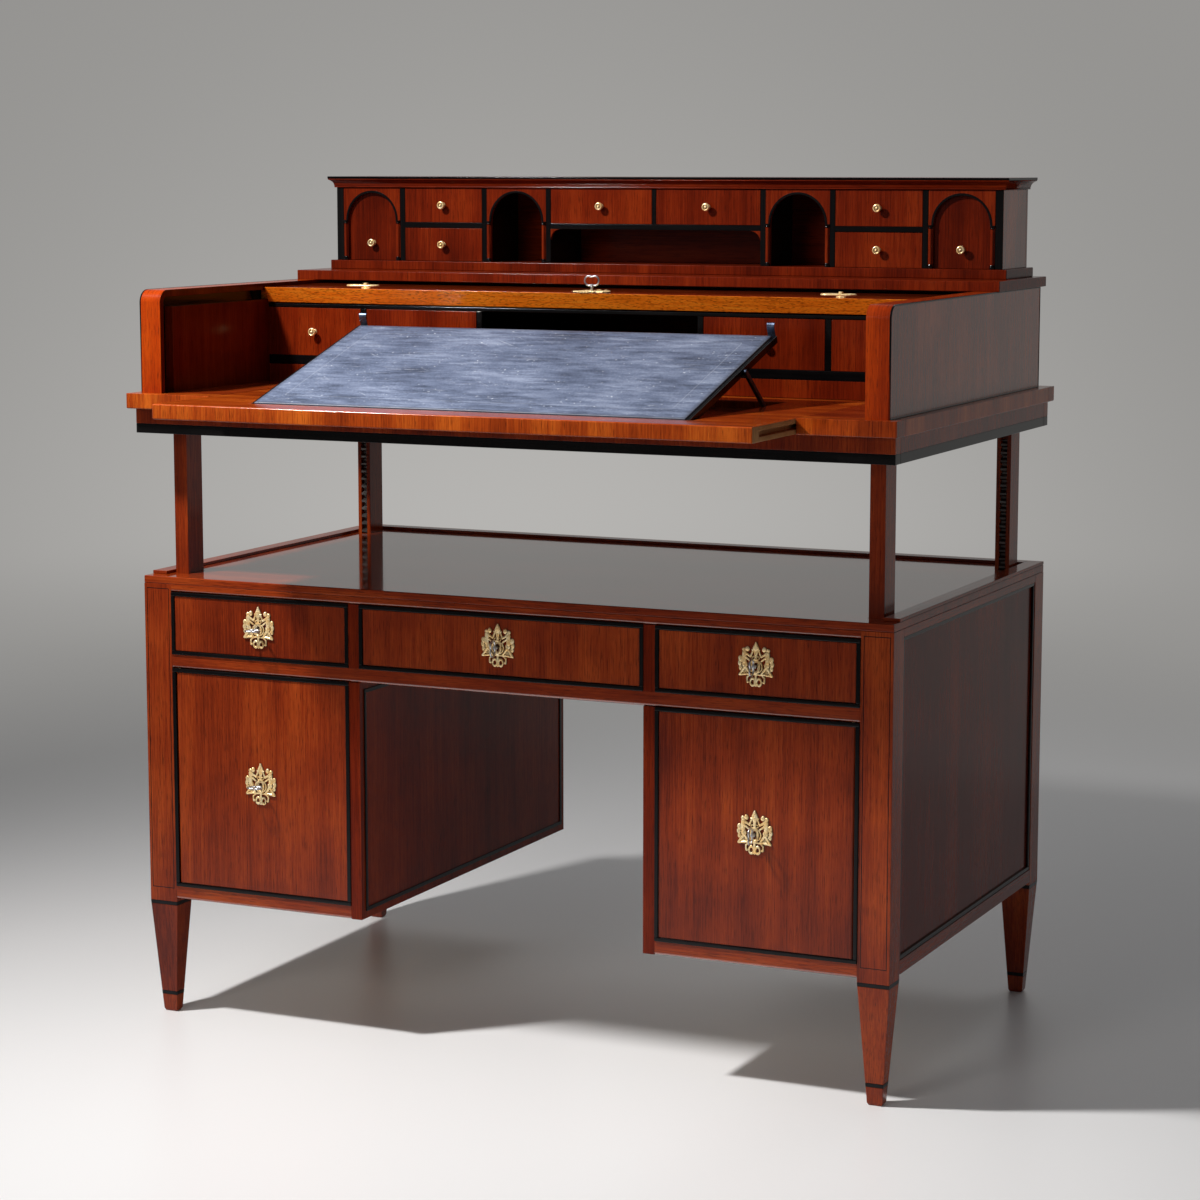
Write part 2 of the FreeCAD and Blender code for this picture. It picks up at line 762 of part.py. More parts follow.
# Reading slope on the slide: a leathered board hinged at its front edge
tilt_centre = Vector(0, -slope_front, hinge_z)
board_top = slope_low + slope_board_thickness


def tilted(shape):
    return shape.rotated(tilt_centre, Vector(1, 0, 0), slope_angle)


slope = board(-slope_half, slope_half, -slope_front, slope_back, slope_low, board_top)
barrel = rod(hinge_radius, 2 * slope_half, Vector(-slope_half, -slope_front, hinge_z), Vector(1, 0, 0))
leather_margin = bead_width
leather = board(-slope_half + leather_margin, slope_half - leather_margin, -slope_front + leather_margin,
                slope_back - leather_margin, board_top, board_top + leather_thickness)
clips = []
for side in (-1, 1):
    x1 = slope_half - clip_inset
    x0 = x1 - clip_width
    clip_ys = (slope_back, slope_back + clip_thickness)
    clips.append(side_board(side, x0, x1, *clip_ys, slope_low, board_top + clip_height))
save("slope_board", [tilted(slope.fuse(barrel))])
save("slope_leather", [tilted(leather)])
save("slope_clips", [tilted(clip) for clip in clips])

# Strut at the right edge of the slope: pinned to the board, its foot on the recess floor
pin_flat = Vector(slope_half, -slope_front + strut_pin_place, slope_low + slope_board_thickness / 2)
pin_at = tilted(Part.Vertex(pin_flat)).Point
bar_end = pin_at.y + strut_length
bar_zs = (pin_at.z - strut_width / 2, pin_at.z + strut_width / 2)
bar = board(bar_x, bar_x + strut_thickness, pin_at.y, bar_end, *bar_zs)
for y in (pin_at.y, bar_end):
    eye_start = Vector(bar_x, y, pin_at.z)
    bar = bar.fuse(rod(strut_width / 2, strut_thickness, eye_start, Vector(1, 0, 0)))
strut = bar.rotated(pin_at, Vector(1, 0, 0), -strut_angle)
pin = rod(strut_pin, strut_thickness + strut_gap, pin_at, Vector(1, 0, 0))
save("slope_strut", [strut.fuse(pin)])

# Flap: a board that runs back in the cheek tracks, with an undercut bevel in front
flap_half = cheek_in - slip
flap_points = [
    Vector(-flap_half, -flap_front, flap_top),
    Vector(-flap_half, flap_back, flap_top),
    Vector(-flap_half, flap_back, flap_low),
    Vector(-flap_half, -flap_front + flap_bevel, flap_low),
]
flap = prism(flap_points, Vector(2 * flap_half, 0, 0))
key_hole_y = -flap_front + flap_key_setback
hole_start = Vector(0, key_hole_y, flap_top - flap_shank_depth)
flap_hole = rod(shank_radius + shaft_fit, flap_shank_depth + overrun, hole_start, Vector(0, 0, 1))
tongue_out = cheek_in + cheek_liner - tongue_slip
tongue_zs = (track_low + rest_gap, track_top - tongue_slip)
tongues = both_sides(flap_half, tongue_out, -flap_front + flap_bevel, flap_back, *tongue_zs)
save("writing_flap", [flap.cut(flap_hole)] + tongues)


# Lock plate: shield with side scrolls, a finial above and two loops below, in one plane
def ring(u, v, radius, hole):
    outer = rod(radius, plate_thickness, Vector(u, 0, v), Vector(0, -1, 0))
    return outer.cut(rod(hole, plate_thickness, Vector(u, 0, v), Vector(0, -1, 0)))


def lock_plate(key_radius):
    oval = Part.Ellipse(Vector(0, 0, 0), shield_half_height, shield_half_width).toShape()
    shield = Part.Face(Part.Wire(oval)).extrude(Vector(0, 0, plate_thickness))
    shield.rotate(Vector(0, 0, 0), Vector(0, 0, 1), 90)
    shield.rotate(Vector(0, 0, 0), Vector(1, 0, 0), 90)
    plate = shield
    for side in (-1, 1):
        u = side * (plate_half_width - scroll_radius)
        plate = plate.fuse(ring(u, scroll_radius, scroll_radius, scroll_hole))
        plate = plate.fuse(ring(u, -scroll_radius + bow_rod, scroll_radius, scroll_hole))
        loop_u = side * (loop_radius - bow_rod)
        plate = plate.fuse(ring(loop_u, -shield_half_height - loop_hole, loop_radius, loop_hole))
    base_v = shield_half_height - bow_rod
    finial = [
        Vector(-finial_radius, 0, base_v + finial_radius),
        Vector(0, 0, base_v),
        Vector(finial_radius, 0, base_v + finial_radius),
        Vector(0, 0, base_v + finial_height),
    ]
    plate = plate.fuse(prism(finial, Vector(0, -plate_thickness, 0)))
    hole = rod(key_radius, plate_thickness + overrun, Vector(0, overrun / 2, 0), Vector(0, -1, 0))
    return plate.cut(hole)


# Key: a shank with a heart-shaped bow of two flat loops, drawn with its shank along -Y
def key(depth):
    loop = bow_half_width / 2 + bow_rod / 2
    flat = Vector(0, 0, 1)
    bow = rod(shank_radius, depth + shank_proud, Vector(0, depth, 0), Vector(0, -1, 0))
    holes = []
    for side in (-1, 1):
        centre = Vector(side * (loop - bow_rod / 2), -shank_proud - loop + bow_rod, -bow_thickness / 2)
        bow = bow.fuse(rod(loop, bow_thickness, centre, flat))
        holes.append(rod(loop - bow_rod, bow_thickness, centre, flat))
    for hole in holes:
        bow = bow.cut(hole)
    return bow.removeSplitter()


key_room = shank_radius + slip
plate_shape = lock_plate(key_room)
key_shape = key(shank_depth)
level_keys = ("left_drawer", "left_door")


def place(shape, x, y, z):
    copy = shape.copy()
    copy.translate(Vector(x, y, z))
    return copy


def keyhole(x, z):
    start = Vector(x, -half_d + shank_depth, z)
    return rod(shank_radius + shaft_fit, shank_depth + overrun, start, Vector(0, -1, 0))


def lock_furniture(node, x, z):
    bow = key_shape.copy()
    if node not in level_keys:
        bow.rotate(Vector(0, 0, 0), Vector(0, 1, 0), 90)
    save(node + "_escutcheon", [place(plate_shape, x, -half_d, z)])
    save(node + "_key", [place(bow, x, -half_d, z)])


# Pedestal drawers: a flush front with a box behind it, narrower where a post well is
def pedestal_drawer(node, x0, x1, box_x0, box_x1):
    middle = (x0 + x1) / 2
    inset = bead_width + slip
    low = drawer_band_place + inset
    high = band_top - inset
    face = board(x0 + inset, x1 - inset, -half_d, -half_d + front_thickness, low, high)
    y0 = -half_d + front_thickness
    y1 = back_in - drawer_back_room
    floor_low = runner_top + rest_gap
    box_low = floor_low + drawer_floor
    box_high = high - drawer_box_low
    solids = [
        face.cut(keyhole(middle, drawer_key_z)),
        board(box_x0, box_x0 + drawer_side, y0, y1, box_low, box_high),
        board(box_x1 - drawer_side, box_x1, y0, y1, box_low, box_high),
        board(box_x0 + drawer_side, box_x1 - drawer_side, y1 - drawer_side, y1, box_low, box_high),
        board(box_x0, box_x1, y0, y1, floor_low, box_low),
    ]
    save(node, solids)
    lock_furniture(node, middle, drawer_key_z)


x0, x1 = openings["left_drawer"][:2]
pedestal_drawer("left_drawer", x0, x1, -box_out, -box_in)
x0, x1 = openings["centre_drawer"][:2]
pedestal_drawer("centre_drawer", x0, x1, -mid_half, mid_half)
x0, x1 = openings["right_drawer"][:2]
pedestal_drawer("right_drawer", x0, x1, box_in, box_out)


# Cupboard doors: pinned at the outer edge, which is rounded about the pin
def cupboard_door(node, side):
    inset = bead_width + slip
    outer = stile_in_x - inset
    inner = wall_out + inset
    low = door_low + inset
    high = belt_low - inset
    leaf = side_board(side, inner, outer, -half_d, -half_d + front_thickness, low, high)
    upright = [e for e in leaf.Edges if e.BoundBox.ZLength > front_thickness]
    outermost = [e for e in upright if abs(abs(e.CenterOfMass.x) - outer) < slip]
    corner = [e for e in outermost if abs(e.CenterOfMass.y + half_d) < slip]
    leaf = leaf.makeFillet(pivot_inset, corner)
    pin_start = Vector(side * pivot_x, pivot_y, low - overrun)
    pin_room = rod(pivot_radius + shaft_fit, high - low + 2 * overrun, pin_start, Vector(0, 0, 1))
    middle = board(-half_w, half_w, -half_d, half_d, door_low + pivot_length, belt_low - pivot_length)
    leaf = leaf.cut(pin_room.cut(middle))
    leaf = leaf.cut(keyhole(side * lock_x, door_key_z))
    save(node, [leaf])
    lock_furniture(node, side * lock_x, door_key_z)


cupboard_door("left_door", -1)
cupboard_door("right_door", 1)


# Turned brass knob on the front plane y, seen as a revolve about its own axis
def knob(x, y, z):
    neck_end = knob_foot_height + knob_neck_length
    tip = neck_end + knob_head_length
    points = [
        (0, 0), (knob_foot, 0), (knob_foot, knob_foot_height), (knob_neck, 2 * knob_foot_height),
        (knob_neck, neck_end), (knob_head, neck_end + knob_head_length / 2), (knob_dish, tip),
        (0, tip - knob_foot_height),
    ]
    face = Part.Face(Part.makePolygon([Vector(x + r, y - h, z) for r, h in points + points[:1]]))
    return face.revolve(Vector(x, y, z), Vector(0, 1, 0), 360)


def small_drawer(x0, x1, y, depth, z0, z1, knob_x, knob_z):
    room = small_slip
    low = z0 + rest_gap
    high = z1 - room
    left = x0 + room
    right = x1 - room
    box_y0 = y + small_front
    box_y1 = y + depth
    box_high = high - small_floor
    floor_high = low + small_floor
    return [
        board(left, right, y, box_y0, low, high),
        board(left, left + small_side, box_y0, box_y1, floor_high, box_high),
        board(right - small_side, right, box_y0, box_y1, floor_high, box_high),
        board(left + small_side, right - small_side, box_y1 - small_side, box_y1, floor_high, box_high),
        board(left, right, box_y0, box_y1, low, floor_high),
        knob(knob_x, y, knob_z),
    ]


# Case inside the writing space: plinth, floor, dividers and top round four drawers
inner_floor = floor_z + inner_plinth
inner_low = inner_floor + inner_floor_board
inner_high = inner_top - inner_board
inner_case = [
    board(-cheek_in, cheek_in, -inner_front, -inner_front + back_thickness, floor_z, inner_floor),
    board(-cheek_in, cheek_in, -inner_front, back_face_in, inner_floor, inner_low),
    board(-cheek_in, cheek_in, -inner_front, back_face_in, inner_high, inner_top),
]
for x in (inner_mid_half, inner_split):
    inner_case += both_sides(x, x + inner_divider, -inner_front, back_face_in, inner_low, inner_high)
save("inner_case", inner_case)
inner_mid_z = (inner_low + inner_high) / 2
inner_bays = {
    "desk_drawer_left_outer": (-cheek_in, -inner_split - inner_divider),
    "desk_drawer_left_inner": (-inner_split, -inner_mid_half - inner_divider),
    "desk_drawer_right_inner": (inner_mid_half + inner_divider, inner_split),
    "desk_drawer_right_outer": (inner_split + inner_divider, cheek_in),
}
for node, (x0, x1) in inner_bays.items():
    room = (x0, x1, -inner_front, inner_drawer_depth, inner_low, inner_high)
    save(node, small_drawer(*room, (x0 + x1) / 2, inner_mid_z))

# Gallery: step and cornice mouldings, black case, arches and eight drawers
cornice_z = gallery_top + cornice_height - cornice_board


def cornice_ring(inset, z):
    x = gallery_half + inset
    y0 = gallery_front - inset
    y1 = gallery_back + inset
    corners = [(-x, y0), (x, y0), (x, y1), (-x, y1), (-x, y0)]
    return Part.makePolygon([Vector(a, b, z) for a, b in corners])


flare_foot = cornice_ring(cornice_foot_share * cornice_proud, gallery_top)
flare = Part.makeLoft([flare_foot, cornice_ring(cornice_proud, cornice_z)], True, True)
cap_half = gallery_half + cornice_proud
cap_ys = (gallery_front - cornice_proud, gallery_back + cornice_proud)
cap = board(-cap_half, cap_half, *cap_ys, cornice_z, cornice_z + cornice_board)
step = board(-step_half, step_half, step_front, step_back, case_top_z, gallery_z)
save("gallery_mouldings", [step, flare, cap])

back_face = gallery_back - gallery_back_board
rail_low = gallery_z + gallery_rail_place
rail_high = rail_low + gallery_rail
case_solids = [board(-gallery_half, gallery_half, back_face, gallery_back, gallery_z, gallery_top)]
case_solids += both_sides(end_in, gallery_half, gallery_front, back_face, gallery_z, gallery_top)
for x in (outer_divider_x, mid_divider_x, inner_divider_x):
    case_solids += both_sides(x, x + divider, gallery_front, back_face, gallery_z, gallery_top)
bay_ys = (gallery_front, back_face)
case_solids += both_sides(mid_divider_x + divider, outer_divider_x, *bay_ys, rail_low, rail_high)
case_solids.append(board(-inner_divider_x, inner_divider_x, *bay_ys, rail_low, rail_high))
case_solids.append(board(-centre_divider / 2, centre_divider / 2, *bay_ys, rail_high, gallery_top))
save("gallery_case", case_solids)


# An arched plate: a rectangle with a round-headed opening that reaches the floor
def arched_plate(x0, x1, y0, y1, z0, z1):
    radius = (x1 - x0) / 2 - arch_jamb
    spring = z1 - arch_top - radius
    middle = (x0 + x1) / 2
    opening = board(middle - radius, middle + radius, y0 - overrun, y1 + overrun, z0 - overrun, spring)
    head = rod(radius, y1 - y0 + 2 * overrun, Vector(middle, y0 - overrun, spring), Vector(0, 1, 0))
    return board(x0, x1, y0, y1, z0, z1).cut(opening.fuse(head)), spring


def colonnettes(x0, x1, y, z0, spring):
    out = []
    for x in (x0 + arch_jamb / 2, x1 - arch_jamb / 2):
        foot_z = z0 + column_base_height
        cap_z = spring - column_cap_height
        column = rod(column_radius, cap_z - foot_z, Vector(x, y, foot_z), Vector(0, 0, 1))
        column = column.fuse(board(x - arch_jamb / 2, x + arch_jamb / 2, y - column_cap, y, z0, foot_z))
        column = column.fuse(board(x - arch_jamb / 2, x + arch_jamb / 2, y - column_cap, y, cap_z, spring))
        front = board(x0, x1, y - column_cap, y, z0, spring)
        out.append(column.common(front))
    return out


arches = []
niche_in = inner_divider_x + divider
for x0, x1 in ((-mid_divider_x, -niche_in), (niche_in, mid_divider_x)):
    plate, spring = arched_plate(x0, x1, gallery_front, gallery_front + arch_plate, gallery_z, gallery_top)
    arches.append(plate)
    arches += colonnettes(x0, x1, gallery_front, gallery_z, spring)
corner_y1 = gallery_front + arch_plate
for side in (-1, 1):
    round_x = inner_divider_x - spandrel_round
    round_low = rail_low - spandrel_round
    block = side_board(side, round_x, inner_divider_x, gallery_front, corner_y1, round_low, rail_low)
    centre = Vector(side * round_x, gallery_front - overrun, round_low)
    arches.append(block.cut(rod(spandrel_round, arch_plate + 2 * overrun, centre, Vector(0, 1, 0))))
save("gallery_arches", arches)

small_depth = back_face - gallery_front - small_back_gap
lower_mid = (gallery_z + rail_low) / 2
upper_mid = (rail_high + gallery_top) / 2
stack_in = mid_divider_x + divider
arch_in = outer_divider_x + divider
small_bays = {
    "left_lower_drawer": (-outer_divider_x, -stack_in, gallery_z, rail_low, lower_mid),
    "left_upper_drawer": (-outer_divider_x, -stack_in, rail_high, gallery_top, upper_mid),
    "centre_left_drawer": (-inner_divider_x, -centre_divider / 2, rail_high, gallery_top, upper_mid),
    "centre_right_drawer": (centre_divider / 2, inner_divider_x, rail_high, gallery_top, upper_mid),
    "right_lower_drawer": (stack_in, outer_divider_x, gallery_z, rail_low, lower_mid),
    "right_upper_drawer": (stack_in, outer_divider_x, rail_high, gallery_top, upper_mid),
}
for node, (x0, x1, z0, z1, knob_z) in small_bays.items():
    save(node, small_drawer(x0, x1, gallery_front, small_depth, z0, z1, (x0 + x1) / 2, knob_z))

# Arched drawers: the drawer front lies behind an arched plate that moves with it
arch_knob_z = gallery_z + small_knob_drop_share * gallery_height
face_y = gallery_front + arch_plate
for node, x0, x1 in (("left_arch_drawer", -end_in, -arch_in), ("right_arch_drawer", arch_in, end_in)):
    room = (x0, x1, face_y, small_depth - arch_plate, gallery_z, gallery_top)
    solids = small_drawer(*room, (x0 + x1) / 2, arch_knob_z)
    low = gallery_z + rest_gap
    left = x0 + small_slip
    right = x1 - small_slip
    plate, spring = arched_plate(left, right, gallery_front, face_y, low, gallery_top - small_slip)
    solids.append(plate)
    solids += colonnettes(left, right, gallery_front, low, spring)
    save(node, solids)

# Flap fittings: lock plate and one post for each handle on the flap, then the key and two oval
# handles, whose straight backs turn in the posts
flat_plate = place(plate_shape, 0, 0, 0)
flat_plate.rotate(Vector(0, 0, 0), Vector(1, 0, 0), -90)
mounts = [place(flat_plate, 0, key_hole_y, flap_top)]
handle_y = -flap_front + handle_setback
handle_z = flap_top + handle_post_height / 2
post_half = handle_post_width / 2
for side in (-1, 1):
    x = side * handle_place
    post = board(x - post_half, x + post_half, handle_y - post_half, handle_y + post_half, flap_top,
                 flap_top + handle_post_height)
    bore_start = Vector(x - post_half - overrun, handle_y, handle_z)
    bore = rod(handle_rod + shaft_fit, handle_post_width + 2 * overrun, bore_start, Vector(1, 0, 0))
    mounts.append(post.cut(bore))
save("flap_mounts", mounts)
flap_key = key(flap_shank_depth)
flap_key.rotate(Vector(0, 0, 0), Vector(1, 0, 0), -90)
save("flap_key", [place(flap_key, 0, key_hole_y, flap_top)])
bend = handle_depth / 2 - handle_rod
straight = handle_width / 2 - handle_depth / 2
grip_y = handle_y - 2 * bend
for node, side in (("left_flap_handle", -1), ("right_flap_handle", 1)):
    middle = side * handle_place
    oval = rod(handle_rod, 2 * straight, Vector(middle - straight, handle_y, handle_z), Vector(1, 0, 0))
    oval = oval.fuse(rod(handle_rod, 2 * straight, Vector(middle - straight, grip_y, handle_z), Vector(1, 0, 0)))
    for hand in (-1, 1):
        x = middle + hand * straight
        circle = Part.Wire(Part.makeCircle(handle_rod, Vector(x, grip_y, handle_z), Vector(1, 0, 0)))
        turn_at = Vector(x, grip_y + bend, handle_z)
        oval = oval.fuse(Part.Face(circle).revolve(turn_at, Vector(0, 0, 1), hand * 180))
    save(node, [oval.removeSplitter()])
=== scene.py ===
import json
import math

import bmesh
import bpy
import numpy as np
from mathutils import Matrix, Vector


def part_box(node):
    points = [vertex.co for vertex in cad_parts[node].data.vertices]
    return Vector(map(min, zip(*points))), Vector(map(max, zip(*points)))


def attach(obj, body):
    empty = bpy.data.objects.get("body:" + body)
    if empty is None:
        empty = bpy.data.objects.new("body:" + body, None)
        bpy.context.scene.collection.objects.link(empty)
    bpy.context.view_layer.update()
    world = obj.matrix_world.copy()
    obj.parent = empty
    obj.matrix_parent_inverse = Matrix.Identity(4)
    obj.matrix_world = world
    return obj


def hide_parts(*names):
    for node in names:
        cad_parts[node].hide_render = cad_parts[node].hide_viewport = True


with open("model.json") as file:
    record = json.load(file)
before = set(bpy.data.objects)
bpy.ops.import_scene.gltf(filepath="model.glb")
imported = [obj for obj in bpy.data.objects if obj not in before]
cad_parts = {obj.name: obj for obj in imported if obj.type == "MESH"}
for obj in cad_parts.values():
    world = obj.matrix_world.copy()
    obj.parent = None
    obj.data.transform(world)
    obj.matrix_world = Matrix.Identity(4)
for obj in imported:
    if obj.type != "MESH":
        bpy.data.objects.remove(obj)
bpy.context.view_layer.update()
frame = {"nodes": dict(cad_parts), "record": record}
nodes = frame["nodes"]
bodyOf = {n: b for b, names in frame["record"]["behaviour"]["bodies"].items() for n in names}
scene = bpy.context.scene
mm = 0.001
merge = 2e-6  # points nearer than this become one, in metres
touch = 1e-4  # faces nearer than this lie in one plane


def grid(points, wrapU=False, wrapV=False):
    # quads over an array of points laid out as rows and columns
    nu, nv = points.shape[:2]
    i, j = np.meshgrid(np.arange(nu - (not wrapU)), np.arange(nv - (not wrapV)), indexing="ij")
    i2, j2 = (i + 1) % nu, (j + 1) % nv
    faces = np.stack([i * nv + j, i2 * nv + j, i2 * nv + j2, i * nv + j2], axis=-1).reshape(-1, 4)
    return points.reshape(-1, 3), faces


def faceList(faces):
    return faces.tolist() if isinstance(faces, np.ndarray) else faces


def join(parts):
    # several shells in one, each one's faces counted on from the last
    points, faces, start = [], [], 0
    for p, f in parts:
        points.append(np.asarray(p, float))
        faces += [tuple(k + start for k in q) for q in faceList(f)]
        start += len(p)
    return np.concatenate(points), faces


def newMesh(name, points, faces):
    mesh = bpy.data.meshes.new(name)
    mesh.from_pydata(np.asarray(points).tolist(), [], faceList(faces))
    return mesh


def newObject(name, data):
    obj = bpy.data.objects.new(name, data)
    scene.collection.objects.link(obj)
    return obj


def readOut(items, what):
    # one vector of every vertex or polygon, as rows
    flat = np.empty(len(items) * 3)
    items.foreach_get(what, flat)
    return flat.reshape(-1, 3)


def turned(profile, sides=28):
    # radius and height pairs carried round the Z axis, closed at both poles
    prof = np.asarray(profile, float)
    prof = np.vstack([[0, prof[0, 1]], prof, [0, prof[-1, 1]]])
    a = np.linspace(0, 2 * math.pi, sides, endpoint=False)
    r, h = prof[:, :1], prof[:, 1:]
    return grid(np.stack([r * np.cos(a), r * np.sin(a), h + 0 * a], axis=-1), wrapV=True)


def unit(rows):
    return rows / np.linalg.norm(rows, axis=1, keepdims=True)


def tube(path, radius, sides=10, closed=False, flat=1.0, up=(0, 0, 1)):
    # a ring carried along the path; its second axis leans to the given up, flattened by flat
    path = np.asarray(path, float)
    ahead = np.roll(path, -1, 0) - np.roll(path, 1, 0)
    if not closed:
        ahead[0], ahead[-1] = path[1] - path[0], path[-1] - path[-2]
    ahead = unit(ahead)
    side = unit(np.cross(ahead, np.asarray(up, float)))
    lift = np.cross(side, ahead)
    a = np.linspace(0, 2 * math.pi, sides, endpoint=False)
    r = np.broadcast_to(np.asarray(radius, float), (len(path),))[:, None, None]
    shell = path[:, None] + r * (np.cos(a)[None, :, None] * side[:, None]
                                 + flat * np.sin(a)[None, :, None] * lift[:, None])
    if not closed:
        shell = np.concatenate([np.repeat(path[:1, None], sides, 1), shell, np.repeat(path[-1:, None], sides, 1)])
    return grid(shell, wrapU=closed, wrapV=True)


def block(lo, hi):
    # the six sides of a box
    k = np.array([[i, j, m] for i in (0, 1) for j in (0, 1) for m in (0, 1)])
    points = np.where(k == 0, np.asarray(lo, float), np.asarray(hi, float))
    faces = [(0, 1, 3, 2), (4, 6, 7, 5), (0, 4, 5, 1), (2, 3, 7, 6), (0, 2, 6, 4), (1, 5, 7, 3)]
    return points, faces


edgeWork = {"flat": 0.02, "sharp": 0.45, "segments": 2, "bowSegments": 4}  # angles in radians


def rounded(bm, edges, width, segments):
    bmesh.ops.bevel(bm, geom=edges, offset=width, offset_type="OFFSET", segments=segments, profile=0.5,
                    affect="EDGES", clamp_overlap=True)


def eased(points, faces, ease, bow=0.0):
    # coplanar triangles become whole faces, then the sharp edges are rounded;
    # the low edge in front gets the wider round, bow
    mesh = newMesh("eased", points, faces)
    bm = bmesh.new()
    bm.from_mesh(mesh)
    bmesh.ops.remove_doubles(bm, verts=bm.verts, dist=merge)
    bmesh.ops.dissolve_limit(bm, angle_limit=edgeWork["flat"], verts=bm.verts, edges=bm.edges)
    bmesh.ops.recalc_face_normals(bm, faces=bm.faces)
    if bow:
        front, foot = (min(v.co[k] for v in bm.verts) + 0.1 * touch for k in (1, 2))
        low = [e for e in bm.edges if all(v.co.y < front and v.co.z < foot for v in e.verts)]
        rounded(bm, low, bow, edgeWork["bowSegments"])
    if ease:
        sharp = [e for e in bm.edges if len(e.link_faces) == 2 and e.calc_face_angle(0) > edgeWork["sharp"]]
        rounded(bm, sharp, ease, edgeWork["segments"])
        bmesh.ops.remove_doubles(bm, verts=bm.verts, dist=merge)
    bm.to_mesh(mesh)
    bm.free()
    shell = readOut(mesh.vertices, "co"), [tuple(p.vertices) for p in mesh.polygons]
    bpy.data.meshes.remove(mesh)
    return shell


def solidsOf(name):
    # the mesh of a node lists one solid after another: a solid ends where no edge is left open
    mesh = nodes[name].data
    mesh.calc_loop_triangles()
    fine = 1e5  # corners are told apart to a hundredth of a millimetre
    tri = np.empty(len(mesh.loop_triangles) * 3, int)
    mesh.loop_triangles.foreach_get("vertices", tri)
    places = np.round(readOut(mesh.vertices, "co") * fine).astype(np.int64)
    spots, same = np.unique(places, axis=0, return_inverse=True)
    tri = same.reshape(-1)[tri.reshape(-1, 3)]
    a, b = tri.ravel(), np.roll(tri, -1, axis=1).ravel()
    edge, way = np.minimum(a, b) * len(spots) + np.maximum(a, b), np.sign(b - a)
    order = np.argsort(edge, kind="stable")
    run = np.cumsum(way[order])
    fresh = np.r_[True, np.diff(edge[order]) != 0]
    first = np.maximum.accumulate(np.where(fresh, np.arange(len(order)), 0))
    run = run - run[first] + way[order][first]
    step = np.empty(len(order), int)
    step[order] = np.abs(run) - np.abs(run - way[order])
    left = np.cumsum(step.reshape(-1, 3).sum(1))
    ends = np.flatnonzero(left == 0) + 1
    ends = ends if len(ends) and ends[-1] == len(tri) else np.r_[ends, len(tri)]
    solids, start = [], 0
    for end in ends:
        used, local = np.unique(tri[start:end], return_inverse=True)
        solids.append((spots[used] / fine, local.reshape(-1, 3)))
        start = end
    return solids


def addPiece(name, parts, finish, body, stands=(), sharp=38, clean=True):
    # a shell or a list of shells becomes an object; edges sharper than sharp, in degrees, stay crisp
    mesh = newMesh(name, *(join(parts) if isinstance(parts, list) else parts))
    if clean:
        bm = bmesh.new()
        bm.from_mesh(mesh)
        bmesh.ops.remove_doubles(bm, verts=bm.verts, dist=merge)
        bmesh.ops.dissolve_degenerate(bm, edges=bm.edges, dist=1e-7)
        bmesh.ops.recalc_face_normals(bm, faces=bm.faces)
        bm.to_mesh(mesh)
        bm.free()
    mesh.shade_smooth()
    mesh.set_sharp_from_angle(angle=math.radians(sharp))
    mesh.materials.append(finish)
    obj = newObject(name, mesh)
    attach(obj, body)
    if stands:
        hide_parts(*([stands] if isinstance(stands, str) else stands))
    return obj


def putAttribute(obj, name, kind, values):
    data = obj.data.attributes.new(name, kind, "POINT").data
    what = "vector" if kind == "FLOAT_VECTOR" else "value"
    data.foreach_set(what, np.ascontiguousarray(values, np.float32).ravel())


def addWood(name, boards, finish, body, stands=(), grain=None, ease=0.7, start=0.0, tone=None, bow=0.0):
    # each board keeps its own grain: along it, then the two ways across, from a place of its own;
    # of two letters, the first is for level faces and the second for the others
    shells, shifts, tones, ways = [], [], [], []
    for n, (points, faces) in enumerate(boards):
        size = np.ptp(points, axis=0)
        shells.append(eased(points, faces, min(ease * mm, 0.28 * size.min()), bow * mm))
        count = len(shells[-1][0])
        seed = math.sin(start * 12.9 + n * 78.2 + len(name) * 3.7) * 437.5
        shifts.append(np.tile(np.array([seed % 1, seed * 1.7 % 1, seed * 2.3 % 1]) * 4, (count, 1)))
        tones.append(np.full(count, seed * 3.1 % 1 if tone is None else tone))
        ways.append(np.full(count, "xyz".index(grain[0]) if grain else int(np.argmax(size))))
    obj = addPiece(name, shells, finish, body, stands, clean=False)
    points, way, count = np.concatenate([p for p, f in shells]), np.concatenate(ways), len(obj.data.vertices)
    if grain and len(grain) == 2:
        level = np.abs(readOut(obj.data.vertices, "normal")[:, 2]) > 0.75
        way = np.where(level, way, "xyz".index(grain[1]))
    along = points[np.arange(count)[:, None], (way[:, None] + np.arange(3)) % 3]
    putAttribute(obj, "grainAt", "FLOAT_VECTOR", along + np.concatenate(shifts))
    putAttribute(obj, "boardTone", "FLOAT", np.concatenate(tones))
    weigh = obj.modifiers.new("weighted", "WEIGHTED_NORMAL")
    weigh.keep_sharp = False
    return obj


def boxOf(name):
    lo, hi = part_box(name)
    return np.array(lo), np.array(hi)


